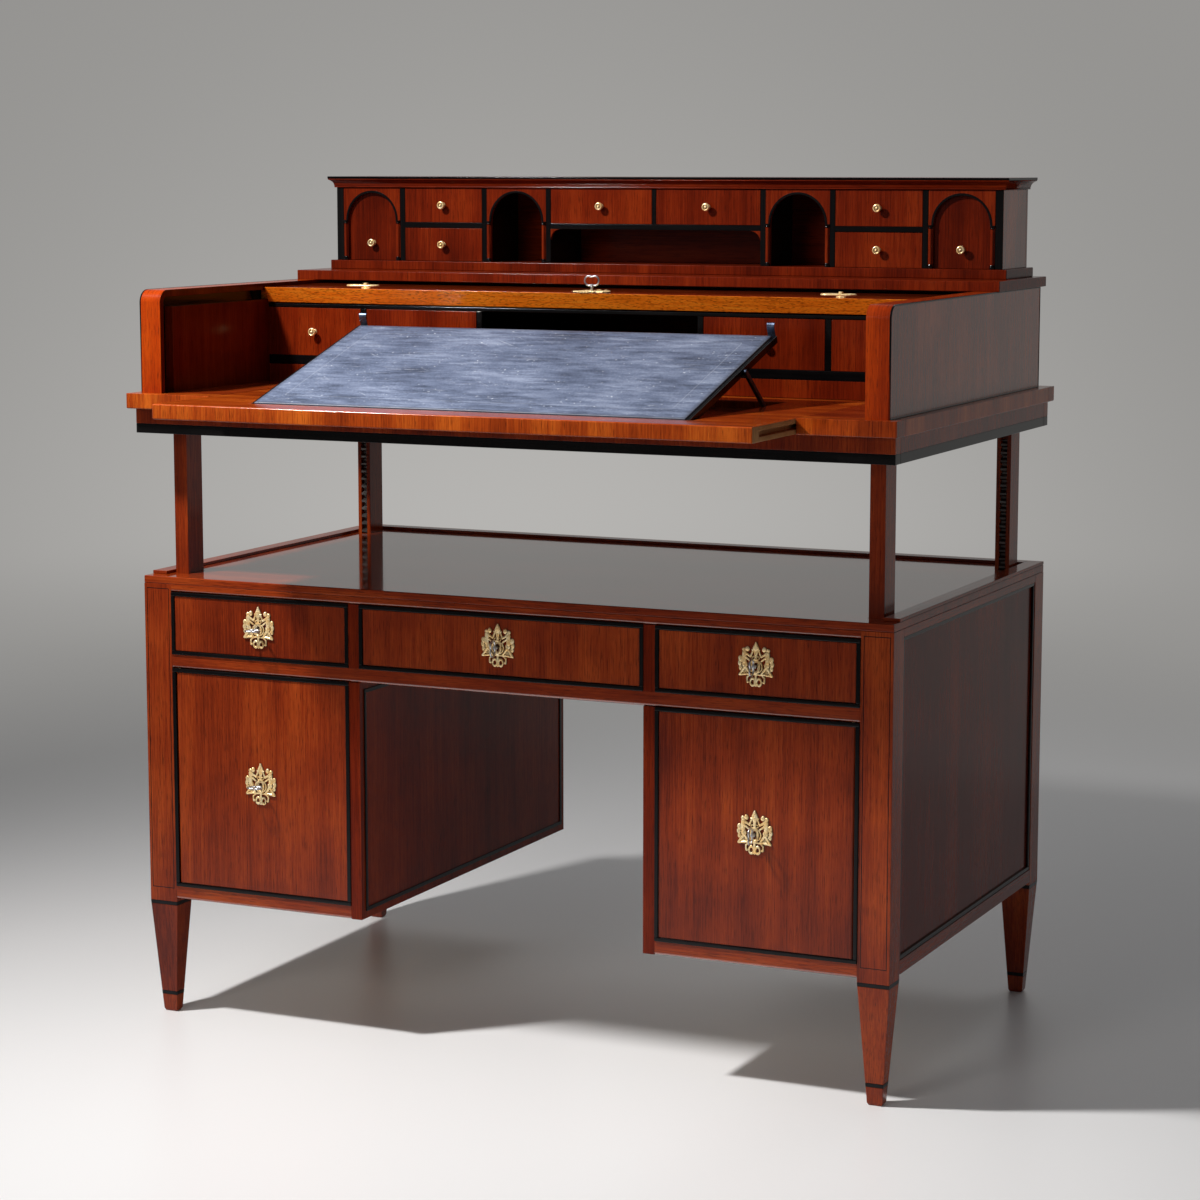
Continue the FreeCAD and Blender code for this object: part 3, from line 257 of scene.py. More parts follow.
def sheetMesh(front, back, keep=None):
    # cells kept of two facing sheets become one closed shell; walls stand where a neighbour is open
    nu, nv = front.shape[:2]
    keep = np.ones((nu - 1, nv - 1), bool) if keep is None else keep
    points, under = np.concatenate([front.reshape(-1, 3), back.reshape(-1, 3)]), nu * nv
    i, j = np.nonzero(keep)
    a, b, c, d = i * nv + j, (i + 1) * nv + j, (i + 1) * nv + j + 1, i * nv + j + 1
    faces = [np.stack([a, b, c, d], -1), np.stack([d, c, b, a], -1) + under]
    closed = np.pad(keep, 1)
    for di, dj, p, q in ((0, -1, a, b), (1, 0, b, c), (0, 1, c, d), (-1, 0, d, a)):
        bare = ~closed[i + 1 + di, j + 1 + dj]
        faces.append(np.stack([p + under, q + under, q, p], -1)[bare])
    used, faces = np.unique(np.concatenate(faces), return_inverse=True)
    return points[used], faces.reshape(-1, 4)


def prismMesh(outline, y0, y1):
    # an outline of x and z pairs, carried from y0 to y1
    flat = np.asarray(outline, float)
    n = len(flat)
    ring = np.insert(flat, 1, 0.0, axis=1)
    k = np.arange(n)
    sides = np.stack([k, (k + 1) % n, (k + 1) % n + n, k + n], -1).tolist()
    return np.concatenate([ring + [0, y0, 0], ring + [0, y1, 0]]), \
        [tuple(range(n))[::-1], tuple(range(n, 2 * n))] + [tuple(q) for q in sides]


def placed(shell, origin, u, v, w):
    # local axes become the given directions, from the origin
    return shell[0] @ np.array([u, v, w], float) + np.asarray(origin, float), shell[1]


def tint(obj, finish, chosen):
    # the polygons that chosen picks by centre and normal get one more finish
    polygons = obj.data.polygons
    index = np.empty(len(polygons), np.int32)
    polygons.foreach_get("material_index", index)
    index[chosen(readOut(polygons, "center"), readOut(polygons, "normal"))] = len(obj.data.materials)
    obj.data.materials.append(finish)
    polygons.foreach_set("material_index", index)


def newFinish(name):
    mat = bpy.data.materials.new(name)
    mat.use_nodes = True
    tree = mat.node_tree
    tree.nodes.clear()
    out = tree.nodes.new("ShaderNodeOutputMaterial")
    skin = tree.nodes.new("ShaderNodeBsdfPrincipled")
    tree.links.new(skin.outputs[0], out.inputs[0])
    return mat, tree, skin


def setSockets(tree, node, sockets):
    # a socket gets a value, or a link when an output is handed in
    for key, value in sockets.items():
        if isinstance(value, bpy.types.NodeSocket):
            tree.links.new(value, node.inputs[key])
        else:
            node.inputs[key].default_value = value


def addNode(tree, kind, sockets, **settings):
    node = tree.nodes.new("ShaderNode" + kind)
    for key, value in settings.items():
        setattr(node, key, value)
    setSockets(tree, node, sockets)
    return node


def attributeOf(tree, name, what="Fac"):
    return addNode(tree, "Attribute", {}, attribute_name=name).outputs[what]


def bumpOf(tree, look, height):
    return addNode(tree, "Bump", {"Strength": look["relief"], "Distance": look["reliefDeep"],
                                  "Height": height}).outputs[0]


def noiseAt(tree, place, scale, detail=3.0, rough=0.55):
    spot = addNode(tree, "Mapping", {"Vector": place, "Scale": scale})
    return addNode(tree, "TexNoise", {"Vector": spot.outputs[0], "Scale": 1.0, "Detail": detail,
                                      "Roughness": rough}).outputs["Fac"]


def ramp(tree, value, stops, colours):
    node = addNode(tree, "ValToRGB", {"Fac": value})
    band = node.color_ramp
    while len(band.elements) < len(stops):
        band.elements.new(0.5)
    for element, spot, colour in zip(band.elements, stops, colours):
        element.position = spot
        element.color = (*colour, 1)
    return node.outputs["Color"]


def weighed(tree, terms, add=0.0):
    # the sum of outputs, each times its share
    total = add
    for value, share in terms:
        total = addNode(tree, "Math", {0: value, 1: share, 2: total}, operation="MULTIPLY_ADD").outputs[0]
    return total


def spread(tree, value, low, high, toLow, toHigh, **settings):
    return addNode(tree, "MapRange", {"Value": value, "From Min": low, "From Max": high, "To Min": toLow,
                                      "To Max": toHigh}, **settings).outputs["Result"]


def times(tree, first, second, **settings):
    return addNode(tree, "Math", {0: first, 1: second}, operation="MULTIPLY", **settings).outputs[0]


def mixed(tree, share, first, second, blend="MIX"):
    return addNode(tree, "MixRGB", {"Fac": share, "Color1": first, "Color2": second},
                   blend_type=blend).outputs["Color"]


woodStops = (0.22, 0.5, 0.78)  # where the dark, middle and pale colours of a wood lie


def woodFinish(name, look, slotName="mahogany"):
    # colour by bands, streaks and mottle along the grain, and by the board's own tone; pores darken it
    mat, tree, skin = newFinish(name)
    at, tone = attributeOf(tree, "grainAt", "Vector"), attributeOf(tree, "boardTone")

    def grain(kind, *detail):
        return noiseAt(tree, at, (look[kind + "Along"], *(look[kind + "Across"],) * 2), *detail)

    bands, streaks, pores = grain("band", 3), grain("streak", 5, 0.6), grain("pore", 2)
    mottle = noiseAt(tree, at, look["mottle"], 3)
    figure = weighed(tree, [(bands, look["bandShare"]), (streaks, look["streakShare"]),
                            (mottle, look["mottleShare"]), (tone, look["toneShare"])], look["lift"])
    colour = ramp(tree, figure, woodStops, look["colours"])
    dark = spread(tree, pores, look["poreFrom"], look["poreFrom"] + look["poreSoft"], 0.0, look["poreShare"])
    rough = spread(tree, streaks, 0.3, 0.7, look["rough"] - look["roughPlay"], look["rough"] + look["roughPlay"])
    setSockets(tree, skin, {
        "Base Color": mixed(tree, dark, colour, (*look["poreColour"], 1)), "Roughness": rough,
        "IOR": look["index"], "Coat Weight": look["coat"], "Coat Roughness": look["coatRough"],
        "Normal": bumpOf(tree, look, weighed(tree, [(pores, -0.7), (streaks, 0.3)]))})
    return mat


mahoganyLook = {
    "bandAlong": 1.2, "bandAcross": 20.0, "bandShare": 0.8,
    "streakAlong": 8.0, "streakAcross": 420.0, "streakShare": 0.65,
    "mottle": (7.0, 6.0, 6.0), "mottleShare": 0.55, "toneShare": 0.14, "lift": -0.57,
    "poreAlong": 42.0, "poreAcross": 950.0, "poreFrom": 0.55, "poreSoft": 0.1, "poreShare": 0.6,
    "poreColour": (0.035, 0.004, 0.0012), "rough": 0.17, "roughPlay": 0.06, "index": 1.34,
    "coat": 0.0, "coatRough": 0.03, "relief": 0.08, "reliefDeep": 0.0004,
    "colours": ((0.085, 0.0075, 0.0016), (0.2, 0.0225, 0.0032), (0.33, 0.052, 0.007))}
warmLook = {**mahoganyLook, "colours": ((0.11, 0.011, 0.0015), (0.28, 0.038, 0.0035), (0.48, 0.1, 0.009))}
# the cheeks' front strip: orange cross grain, made brighter as painted highlight
lipLitLook = {**mahoganyLook, "colours": ((0.16, 0.0115, 0.0006), (0.29, 0.0275, 0.0011), (0.43, 0.058, 0.002))}
topLook = {**mahoganyLook, "rough": 0.1, "index": 1.5, "coat": 0.4, "coatRough": 0.015, "relief": 0.02}
roundLook = {**topLook, "index": 1.75, "coat": 0.9}
oakLook = {**mahoganyLook, "rough": 0.5, "poreColour": (0.1, 0.06, 0.03),
    "colours": ((0.2, 0.115, 0.055), (0.31, 0.19, 0.095), (0.42, 0.28, 0.15))}
paleLook = {**oakLook, "colours": ((0.2, 0.08, 0.025), (0.36, 0.17, 0.06), (0.5, 0.27, 0.11))}
ebonyLook = {**mahoganyLook, "rough": 0.13, "index": 1.3, "poreShare": 0.4, "poreColour": (0.001, 0.0009, 0.001),
    "colours": ((0.0016, 0.0014, 0.0016), (0.003, 0.0026, 0.0028), (0.006, 0.005, 0.005))}
innerLook = {**mahoganyLook, "index": 1.22,
    "colours": ((0.055, 0.004, 0.001), (0.125, 0.0105, 0.0018), (0.21, 0.024, 0.0035))}
# the sides' brighter, browner colour is painted light on faces that lie in shade; the higher index and coat are their
# gloss
sideLitLook = {**mahoganyLook, "index": 1.45, "coat": 0.3, "streakAcross": 260.0,
    "colours": ((0.1, 0.016, 0.006), (0.27, 0.05, 0.017), (0.5, 0.11, 0.04))}
# the flap's front edge: paler flecked edge grain, with its orange raised near full brightness as painted highlight
flapLitLook = {**mahoganyLook, "bandShare": 0.3, "streakAlong": 16.0, "streakAcross": 300.0, "streakShare": 0.7,
    "mottleShare": 0.3, "lift": -0.16, "poreAlong": 120.0, "poreAcross": 850.0, "poreFrom": 0.54,
    "poreShare": 0.85, "poreColour": (0.2, 0.03, 0.003),
    "colours": ((0.42, 0.06, 0.003), (0.92, 0.215, 0.01), (1.0, 0.36, 0.026))}
mahogany, warmWood, innerWood, flapLitWood, lipLitWood, sideLitWood, paleWood, topWood, roundWood = (
    woodFinish(*pair) for pair in (
        ("mahogany polished", mahoganyLook), ("mahogany warm", warmLook), ("mahogany red", innerLook),
        ("mahogany flecked", flapLitLook), ("mahogany bright", lipLitLook), ("mahogany sides", sideLitLook),
        ("slide ends", paleLook), ("mahogany top", topLook), ("mahogany rounds", roundLook)))
oak = woodFinish("oak lining", oakLook, "lining_oak")
ebony = woodFinish("ebonised", ebonyLook, "ebonised_wood")

metalStops = (0.3, 0.55, 0.75)


def metalFinish(name, look):
    # colour and gloss by wear; a shade attribute of the piece darkens the depths and dulls them, as painted shade
    mat, tree, skin = newFinish(name)
    at = addNode(tree, "TexCoord", {}).outputs["Object"]
    deep = attributeOf(tree, "recess")
    wear = noiseAt(tree, at, (look["wear"],) * 3, 4, 0.6)
    fine = noiseAt(tree, at, (look["wear"] * 9,) * 3, 3)
    colour = ramp(tree, wear, metalStops, look["colours"])
    rough = weighed(tree, [(wear, look["roughSpread"]), (deep, look["roughDeep"])], look["rough"])
    setSockets(tree, skin, {
        # the mix towards the near-black depth colour is painted shade
        "Base Color": mixed(tree, deep, colour, (*look["recess"], 1)), "Roughness": rough,
        "Metallic": look["metal"], "Normal": bumpOf(tree, look, fine)})
    return mat


steelLook = {"wear": 120.0, "rough": 0.22, "roughSpread": 0.25, "roughDeep": 0.25, "metal": 1.0,
    "relief": 0.15, "reliefDeep": 0.0003, "recess": (0.03, 0.028, 0.026),
    "colours": ((0.36, 0.36, 0.37), (0.58, 0.58, 0.6), (0.74, 0.74, 0.76))}
rackLook = {**steelLook, "wear": 60.0, "rough": 0.35, "relief": 0.2,
    "colours": ((0.1, 0.09, 0.085), (0.2, 0.19, 0.18), (0.36, 0.34, 0.32))}
bluedLook = {**steelLook, "wear": 140.0, "rough": 0.3, "recess": (0.01, 0.01, 0.012),
    "colours": ((0.05, 0.065, 0.1), (0.1, 0.13, 0.2), (0.2, 0.25, 0.36))}
giltLook = {**steelLook, "wear": 160.0, "rough": 0.2, "roughSpread": 0.14, "metal": 0.5, "relief": 0.1,
    "recess": (0.04, 0.014, 0.003),
    "colours": ((0.98, 0.58, 0.2), (1.0, 0.76, 0.4), (1.0, 0.88, 0.6))}
gilt = metalFinish("gilt brass", giltLook)
steel = metalFinish("steel", steelLook)
rackSteel = metalFinish("rack steel", rackLook)
blued = metalFinish("blued iron", bluedLook)

# noises as scale, detail and roughness; marks as where they begin and how strong they get
leatherLook = {
    "colours": ((0.03, 0.04, 0.07), (0.094, 0.118, 0.185), (0.2, 0.235, 0.325)), "stops": (0.3, 0.5, 0.72),
    "scuff": (0.5, 0.53, 0.6), "rim": (0.03, 0.035, 0.055), "rimWide": 0.008, "rimShare": 0.7,
    "rough": 0.26, "lineAt": 0.034, "lineWide": 0.0006, "lineShare": 0.22, "relief": 0.25,
    "reliefDeep": 0.0004, "slant": 0.6, "worn": (0.46, 0.62),
    "cloud": ((6.0, 11.0, 8.0), 6, 0.66), "smear": ((17.0, 95.0, 8.0), 5, 0.65),
    "speck": ((260.0, 260.0, 260.0), 3, 0.6), "patch": ((26.0, 34.0, 1.0), 4, 0.7),
    "lines": ((9.0, 420.0, 1.0), 2, 0.5), "slants": ((7.0, 330.0, 1.0), 2, 0.5),
    "dots": ((170.0, 170.0, 1.0), 1, 0.5), "marks": ((0.64, 0.7), (0.69, 0.5), (0.68, 0.95))}


def leatherFinish(look):
    # clouds and smears of colour, pale scuffs where it is worn, a tooled line and a dark rim
    mat, tree, skin = newFinish("leather worn")
    at, inset = attributeOf(tree, "sheetAt", "Vector"), attributeOf(tree, "sheetRim")
    leant = addNode(tree, "Mapping", {"Vector": at, "Rotation": (0, 0, look["slant"])}).outputs[0]
    cloud, smear, speck, patch, lines, dots = (noiseAt(tree, at, *look[k]) for k in
                                               ("cloud", "smear", "speck", "patch", "lines", "dots"))
    slants = noiseAt(tree, leant, *look["slants"])
    figure = weighed(tree, [(cloud, 0.85), (smear, 0.7), (speck, 0.35)], -0.45)
    colour = ramp(tree, figure, look["stops"], look["colours"])
    worn = spread(tree, patch, *look["worn"], 0.0, 1.0)
    scuff = (*look["scuff"], 1)
    for marks, (low, most) in zip((lines, slants, dots), look["marks"]):
        colour = mixed(tree, times(tree, spread(tree, marks, low, low + 0.05, 0.0, most), worn), colour, scuff)
    tooled = addNode(tree, "Math", {0: inset, 1: look["lineAt"], 2: look["lineWide"]}, operation="COMPARE").outputs[0]
    colour = mixed(tree, times(tree, tooled, look["lineShare"]), colour, scuff)
    rim = spread(tree, inset, 0.0, look["rimWide"], look["rimShare"], 0.0)
    setSockets(tree, skin, {
        "Base Color": mixed(tree, rim, colour, (*look["rim"], 1)),
        "Roughness": weighed(tree, [(cloud, 0.25), (speck, 0.15)], look["rough"]),
        "Normal": bumpOf(tree, look, weighed(tree, [(speck, 0.7), (patch, 0.4)]))})
    return mat


leather = leatherFinish(leatherLook)
print("finishes made")

# plain boards: finish, way of the grain and rounding of the edges in mm
boardTable = (
    ("corner_legs", mahogany, "z", 0.7), ("leg_bands", ebony, None, 0.4),
    # the side and kneehole panels take the darker red as painted shade
    ("carcass_rails", mahogany, None, 0.4), ("carcass_panels", innerWood, "z", 0.4),
    ("carcass_linings", oak, None, 0.5), ("ebony_beads", ebony, None, 1.6),
    ("lift_posts", mahogany, "z", 0.7), ("upper_plinth", mahogany, "z", 0.6),
    ("plinth_band", ebony, None, 0.8), ("base_moulding", warmWood, "z", 0.6),
    ("case_boards", mahogany, "x", 0.4), ("cheeks", sideLitWood, "z", 0.5),
    ("case_top", innerWood, "xz", 1.2), ("writing_slide", warmWood, "xz", 2.2),
    ("slope_board", ebony, "x", 1.0), ("writing_flap", topWood, "x", 1.2))
boardLook = {"railBow": 4.0, "slideEnd": 9.0}  # round of the rails' low front edges, depth of the slide's pale ends
boardPiece = {}
for name, finish, grain, ease in boardTable:
    boardPiece[name] = addWood(name + "_wood", solidsOf(name), finish, bodyOf[name], name, grain, ease,
                               bow=boardLook["railBow"] if name == "carcass_rails" else 0.0)
slideEnd = boxOf("writing_slide")[1][0] - boardLook["slideEnd"] * mm
tint(boardPiece["carcass_rails"], roundWood, lambda mid, way: (way[:, 1] < -0.1) & (way[:, 2] < -0.1))
# the cheeks' inward faces get the darker red as painted shade
tint(boardPiece["cheeks"], innerWood, lambda mid, way: way[:, 0] * np.sign(mid[:, 0]) < 0.5)
# the flap's front faces: paler flecked edge grain and painted highlight
tint(boardPiece["writing_flap"], flapLitWood, lambda mid, way: way[:, 1] < -0.6)
tint(boardPiece["writing_slide"], paleWood,
     lambda mid, way: (np.abs(mid[:, 0]) > slideEnd) & (np.abs(way[:, 0]) > 0.5))

topCut = {"room": 0.6, "ease": 1.5, "rimEase": 0.8}  # room round each post, rounding of the edges


def lowerTop():
    # the deck is a sheet with a hole for each post; the boards that stand higher are its rim
    lo, hi = boxOf("lower_top")
    boards = solidsOf("lower_top")
    tops = [b[0][:, 2].max() for b in boards]
    rims = [b for b, top in zip(boards, tops) if top > hi[2] - touch]
    deck = max(top for top in tops if top < hi[2] - touch)
    room = topCut["room"] * mm
    posts = [(p.min(0) - room, p.max(0) + room) for p, f in solidsOf("lift_posts")]
    xs, ys = (np.unique(np.round([lo[k], hi[k]] + [q[k] for pair in posts for q in pair], 5)) for k in (0, 1))
    mx, my = np.meshgrid((xs[1:] + xs[:-1]) / 2, (ys[1:] + ys[:-1]) / 2, indexing="ij")
    wood = np.ones(mx.shape, bool)
    for a, b in posts:
        wood &= ~((mx > a[0]) & (mx < b[0]) & (my > a[1]) & (my < b[1]))
    gx, gy = np.meshgrid(xs, ys, indexing="ij")
    slab = sheetMesh(np.stack([gx, gy, 0 * gx + deck], -1), np.stack([gx, gy, 0 * gx + lo[2]], -1), wood)
    top = addWood("lower_top_deck", [slab], topWood, "desk", "lower_top", "x", topCut["ease"])
    tint(top, mahogany, lambda mid, way: way[:, 2] < 0.5)
    addWood("lower_top_rim", rims, mahogany, "desk", "lower_top", None, topCut["rimEase"], 2.0)


lowerTop()

# inlaid line on the front stiles
stringing = {"inset": 4.6, "foot": 22.0, "head": 24.0, "width": 1.1, "proud": 0.12, "deep": 1.0}


def stileStringing():
    legs = [p for p, f in solidsOf("corner_legs") if np.ptp(p[:, 2]) > 0.4]
    front = min(p[:, 1].min() for p in legs)
    top = boxOf("lower_top")[1][2]
    inset, foot, head, w, proud, deep = (v * mm for v in stringing.values())
    y0, y1 = front - proud, front + deep
    parts = []
    for p in legs:
        if p[:, 1].min() > front + 0.01:
            continue
        x0, x1 = p[:, 0].min() + inset, p[:, 0].max() - inset
        z0, z1 = p[:, 2].min() + foot, top - head
        parts += [block((x0, y0, z0), (x0 + w, y1, z1)), block((x1 - w, y0, z0), (x1, y1, z1)),
                  block((x0 + w, y0, z0), (x1 - w, y1, z0 + w)), block((x0 + w, y0, z1 - w), (x1 - w, y1, z1))]
    addWood("stile_stringing", parts, ebony, "desk", (), None, 0.1)


stileStringing()

# black corner line, bright front strip, a black sheet in the track as painted shade of the deep groove, and the plug
# at the track's back end
cheekInlay = {"line": 3.0, "lining": 0.5, "radius": 20.0, "strip": 0.3, "plug": 8.0}


def cheekTrim():
    solids = solidsOf("cheeks")
    r, line, lining = (cheekInlay[k] * mm for k in ("radius", "line", "lining"))
    a = np.linspace(math.pi, math.pi / 2, 14)
    for side in (0, 1):
        outer, lip, liner = (solids[side * 3 + k][0] for k in (0, 1, 2))
        sign = 1 if outer[:, 0].mean() > 0 else -1
        name = "left" if sign < 0 else "right"
        wide, step = np.abs(outer[:, 0]).max(), 0.25 * line
        (y0, y1), (z0, z1) = ((outer[:, k].min(), outer[:, k].max()) for k in (1, 2))

        def corner(radius):
            return np.stack([y0 + r + radius * np.cos(a), z1 - r + radius * np.sin(a)], -1)

        run = np.r_[[(y0 + step, z0 + step)], corner(r - step), [(y1 - step, z1 - step), (y1 - step, z0 + step)]]
        path = np.insert(run, 0, sign * (wide - step), axis=1)
        addPiece(name + "_cheek_line", tube(path, 0.5 * line, 8, True, up=(1, 0, 0)), ebony, "lift")
        bow = np.r_[[(y0, z0)], corner(r), [(lip[:, 1].max(), z1)]]
        off = unit(np.gradient(bow, axis=0))[:, ::-1] * (-1, 1) * cheekInlay["strip"] * mm
        lipSide = np.abs(lip[:, 0]).min()
        xs = np.sort(sign * np.array([lipSide, wide - 0.7 * line]))
        sheets = (np.stack(np.broadcast_arrays(xs[:, None], *q.T), -1) for q in (bow + off, bow - 2 * off))
        strip = sheetMesh(*sheets)
        # the strip's brightness is partly painted highlight
        obj = addPiece(name + "_cheek_front", strip, lipLitWood, "lift")
        x, y, z = strip[0].T
        putAttribute(obj, "grainAt", "FLOAT_VECTOR", np.stack([y + z, x, 0 * x], -1))
        putAttribute(obj, "boardTone", "FLOAT", np.full(len(x), 0.5))
        wall = np.abs(liner[:, 0]).max()
        track = lip[lip[:, 1] > lip[:, 1].max() - touch][:, 2].min()  # the lip's underside at its back end
        front, back, low = liner[:, 1].min(), liner[:, 1].max(), liner[:, 2].max()
        # painted shade: a thin black sheet over the track's inner wall and floor, where the groove lies in shadow
        x0, x1 = sorted((sign * wall, sign * (wall - lining)))
        parts = [block((x0, y0 + (z1 - track), z0), (x1, front, track)), block((x0, front, low), (x1, back, track))]
        addWood(name + "_track_shade_sheet", parts, ebony, "lift", (), None, 0.05)
        x0, x1 = sorted((sign * lipSide, sign * (wall - lining)))
        plug = block((x0, back - cheekInlay["plug"] * mm, low), (x1, back, track))
        addWood(name + "_track_end", [plug], sideLitWood, "lift", (), "x", 0.2)


cheekTrim()
print("boards made")

knobLook = {"profile": [(4.6, 0.0), (4.6, 0.9), (4.1, 1.5), (2.8, 2.2), (2.4, 3.4), (2.5, 5.4), (3.6, 6.8), (5.6, 7.6),
    (6.6, 8.6), (6.8, 9.6), (6.5, 10.6), (5.8, 11.3), (5.0, 11.5), (4.2, 11.0), (3.0, 10.6),
    (2.3, 10.8), (1.6, 11.7), (0.8, 12.3)],
    "dishIn": 2.1, "dishOut": 4.9, "dishFrom": 9.5, "dishShade": 0.75, "neckTo": 3.0, "neckShade": 0.35}


def addKnob(name, x, y, z, body):
    # turned about the way out of the front; its dish and neck are darkened as painted shade
    shell = placed(turned(knobLook["profile"]), (x / mm, y / mm, z / mm), (1, 0, 0), (0, 0, 1), (0, -1, 0))
    obj = addPiece(name + "_knob", (shell[0] * mm, shell[1]), gilt, body, name)
    px, py, pz = readOut(obj.data.vertices, "co").T
    r, out = np.hypot(px - x, pz - z) / mm, (y - py) / mm
    dish = (r > knobLook["dishIn"]) & (r < knobLook["dishOut"]) & (out > knobLook["dishFrom"])
    neck = np.where(out < knobLook["neckTo"], knobLook["neckShade"], 0.0)
    putAttribute(obj, "recess", "FLOAT", np.where(dish, knobLook["dishShade"], neck))


# bases and caps as shares of their width and height, the caps' counted down
archLook = {"jamb": 8.0, "crown": 8.0, "band": 3.4, "bandIn": 0.2, "bandProud": 0.7, "bandDeep": 1.0,
    "baseHigh": 6.5, "capHigh": 6.0, "shaft": 3.1, "shaftTop": 2.7, "capWide": 4.1,
    "base": ((1, 0), (1, 0.45), (0.86, 0.5), (0.95, 0.68), (0.86, 0.86)),
    "cap": ((0.84, 0.9), (0.9, 0.7), (0.8, 0.55), (1, 0.35), (1, 0))}
archTurn = np.linspace(0, math.pi, 40)


def column(x, y, z0, spring):
    # shaft, base and capital, all turned about an upright axis
    b, c, w, s, t = (archLook[k] * mm for k in ("baseHigh", "capHigh", "capWide", "shaft", "shaftTop"))
    high = spring - z0
    shaft = turned([(s, b * 0.7), (s, b), (t, high - c), (t, high - c * 0.6)], 20)
    base = turned(np.r_[np.array(archLook["base"]) * (w, b), [(s, b)]], 20)
    cap = turned(np.r_[[(t, high - c)], np.array(archLook["cap"]) * (w, -c) + (0, high)], 20)
    return [(p + [x, y, z0], f) for p, f in (shaft, base, cap)]


def archParts(lo, hi, y):
    # the plate's outline, the shafts of its two columns, their bases and caps, and the band round the arch
    mid, half = (lo[0] + hi[0]) / 2, archLook["jamb"] * mm / 2
    r = (hi[0] - lo[0]) / 2 - archLook["jamb"] * mm
    spring = hi[2] - archLook["crown"] * mm - r

    def arc(radius, turn):
        return np.stack([mid + radius * np.cos(turn), spring + radius * np.sin(turn)], -1)

    outline = np.r_[[(lo[0], lo[2]), (lo[0], hi[2]), (hi[0], hi[2]), (hi[0], lo[2]), (mid + r, lo[2])],
                    arc(r, archTurn), [(mid - r, lo[2])]]
    ring = np.r_[arc(r - archLook["bandIn"] * mm, archTurn), arc(r + archLook["band"] * mm, archTurn[::-1])]
    band = prismMesh(ring, y - archLook["bandProud"] * mm, y + archLook["bandDeep"] * mm)
    columns = [column(x, y, lo[2], spring) for x in (lo[0] + half, hi[0] - half)]
    return outline, [c[0] for c in columns], [p for c in columns for p in c[1:]], band


# drawers: a show front, oak linings behind it, a turned knob; the arched ones are painted darker, as painted shade in
# their recess under the arch
drawerLook = {"knobAt": 0.5, "archKnobAt": 0.24, "archShadeTone": -0.7}
galleryFront = boxOf("gallery_case")[0][1]
lockedFronts = ("left_drawer", "centre_drawer", "right_drawer", "left_door", "right_door")
smallDrawers = [n for n in bodyOf if "drawer" in n and n not in lockedFronts
                and not n.endswith(("_key", "_escutcheon"))]
for count, name in enumerate(smallDrawers):
    body, arched, solids = bodyOf[name], "arch" in name, solidsOf(name)
    lo, hi = solids[0][0].min(0), solids[0][0].max(0)
    # the arched fronts' fixed low tone is painted shade
    tone = drawerLook["archShadeTone"] if arched else None
    addWood(name + "_front", solids[:1], innerWood, body, name, "z", 0.6, count, tone)
    addWood(name + "_box", solids[1:5], oak, body, name, None, 0.4, count)
    share = drawerLook["archKnobAt" if arched else "knobAt"]
    addKnob(name, (lo[0] + hi[0]) / 2, lo[1], lo[2] + share * (hi[2] - lo[2]), body)
    if arched:
        outline, shafts, trim, band = archParts(lo, hi, galleryFront)
        plate = prismMesh(outline, galleryFront, lo[1])
        addWood(name + "_arch", [plate] + shafts, innerWood, body, name, "z", 0.35, count)
        addWood(name + "_trim", [band] + trim, ebony, body, name, None, 0.2, count)
for count, name in enumerate(lockedFronts, 20):
    solids = solidsOf(name)
    fronts = solids if name.endswith("door") else solids[:1]
    addWood(name + "_front", fronts, mahogany, bodyOf[name], name, "z", 0.6, count)
    if name.endswith("drawer"):
        addWood(name + "_box", solids[1:], oak, bodyOf[name], name, None, 0.5, count)
print("drawers made")

inner = solidsOf("inner_case")
addWood("inner_plinth_rail", inner[:1], innerWood, "lift", "inner_case", "z", 0.6)
addWood("inner_dividers", inner[1:], ebony, "lift", "inner_case", None, 0.9)

galleryLook = {"cornice": [(0.4, 0.0), (2.6, 0.2), (3.2, 1.1), (3.0, 2.1), (2.4, 2.7), (3.3, 2.9), (3.5, 5.0),
    (4.3, 7.6), (5.9, 10.0), (8.2, 12.0), (10.2, 13.1), (11.3, 13.4), (11.3, 15.0)],
    "blackDeep": 12.0}


def cornice():
    # the profile, out and up from the case's top edge, carried round its four corners
    lo, hi = boxOf("gallery_case")
    out = np.array(galleryLook["cornice"]) * mm
    o, z = out[:, 0], hi[2] + out[:, 1]
    corners = ((lo[0] - o, lo[1] - o), (hi[0] + o, lo[1] - o), (hi[0] + o, hi[1] + o), (lo[0] - o, hi[1] + o))
    points, faces = grid(np.stack([np.stack([x, y, z], -1) for x, y in corners], 1), wrapV=True)
    n = len(points)
    return points, faces.tolist() + [(0, 1, 2, 3), (n - 1, n - 2, n - 3, n - 4)]


mouldings = solidsOf("gallery_mouldings")
addWood("gallery_step", mouldings[:1], innerWood, "lift", "gallery_mouldings", "xz", 1.2)
addWood("gallery_cornice", [cornice()], innerWood, "lift", "gallery_mouldings", "x", 0.0)
cap = addWood("gallery_cap", mouldings[2:], ebony, "lift", "gallery_mouldings", "x", 0.8)
tint(cap, mahogany, lambda mid, way: way[:, 2] > 0.95)
gallery = addWood("gallery_case_wood", solidsOf("gallery_case"), ebony, "lift", "gallery_case", None, 0.6)
galleryEnd = boxOf("gallery_case")[1][0] - 1 * mm
blackTo = galleryFront + galleryLook["blackDeep"] * mm
tint(gallery, innerWood, lambda mid, way: (mid[:, 1] > blackTo) & (np.abs(way[:, 0]) < 0.5))
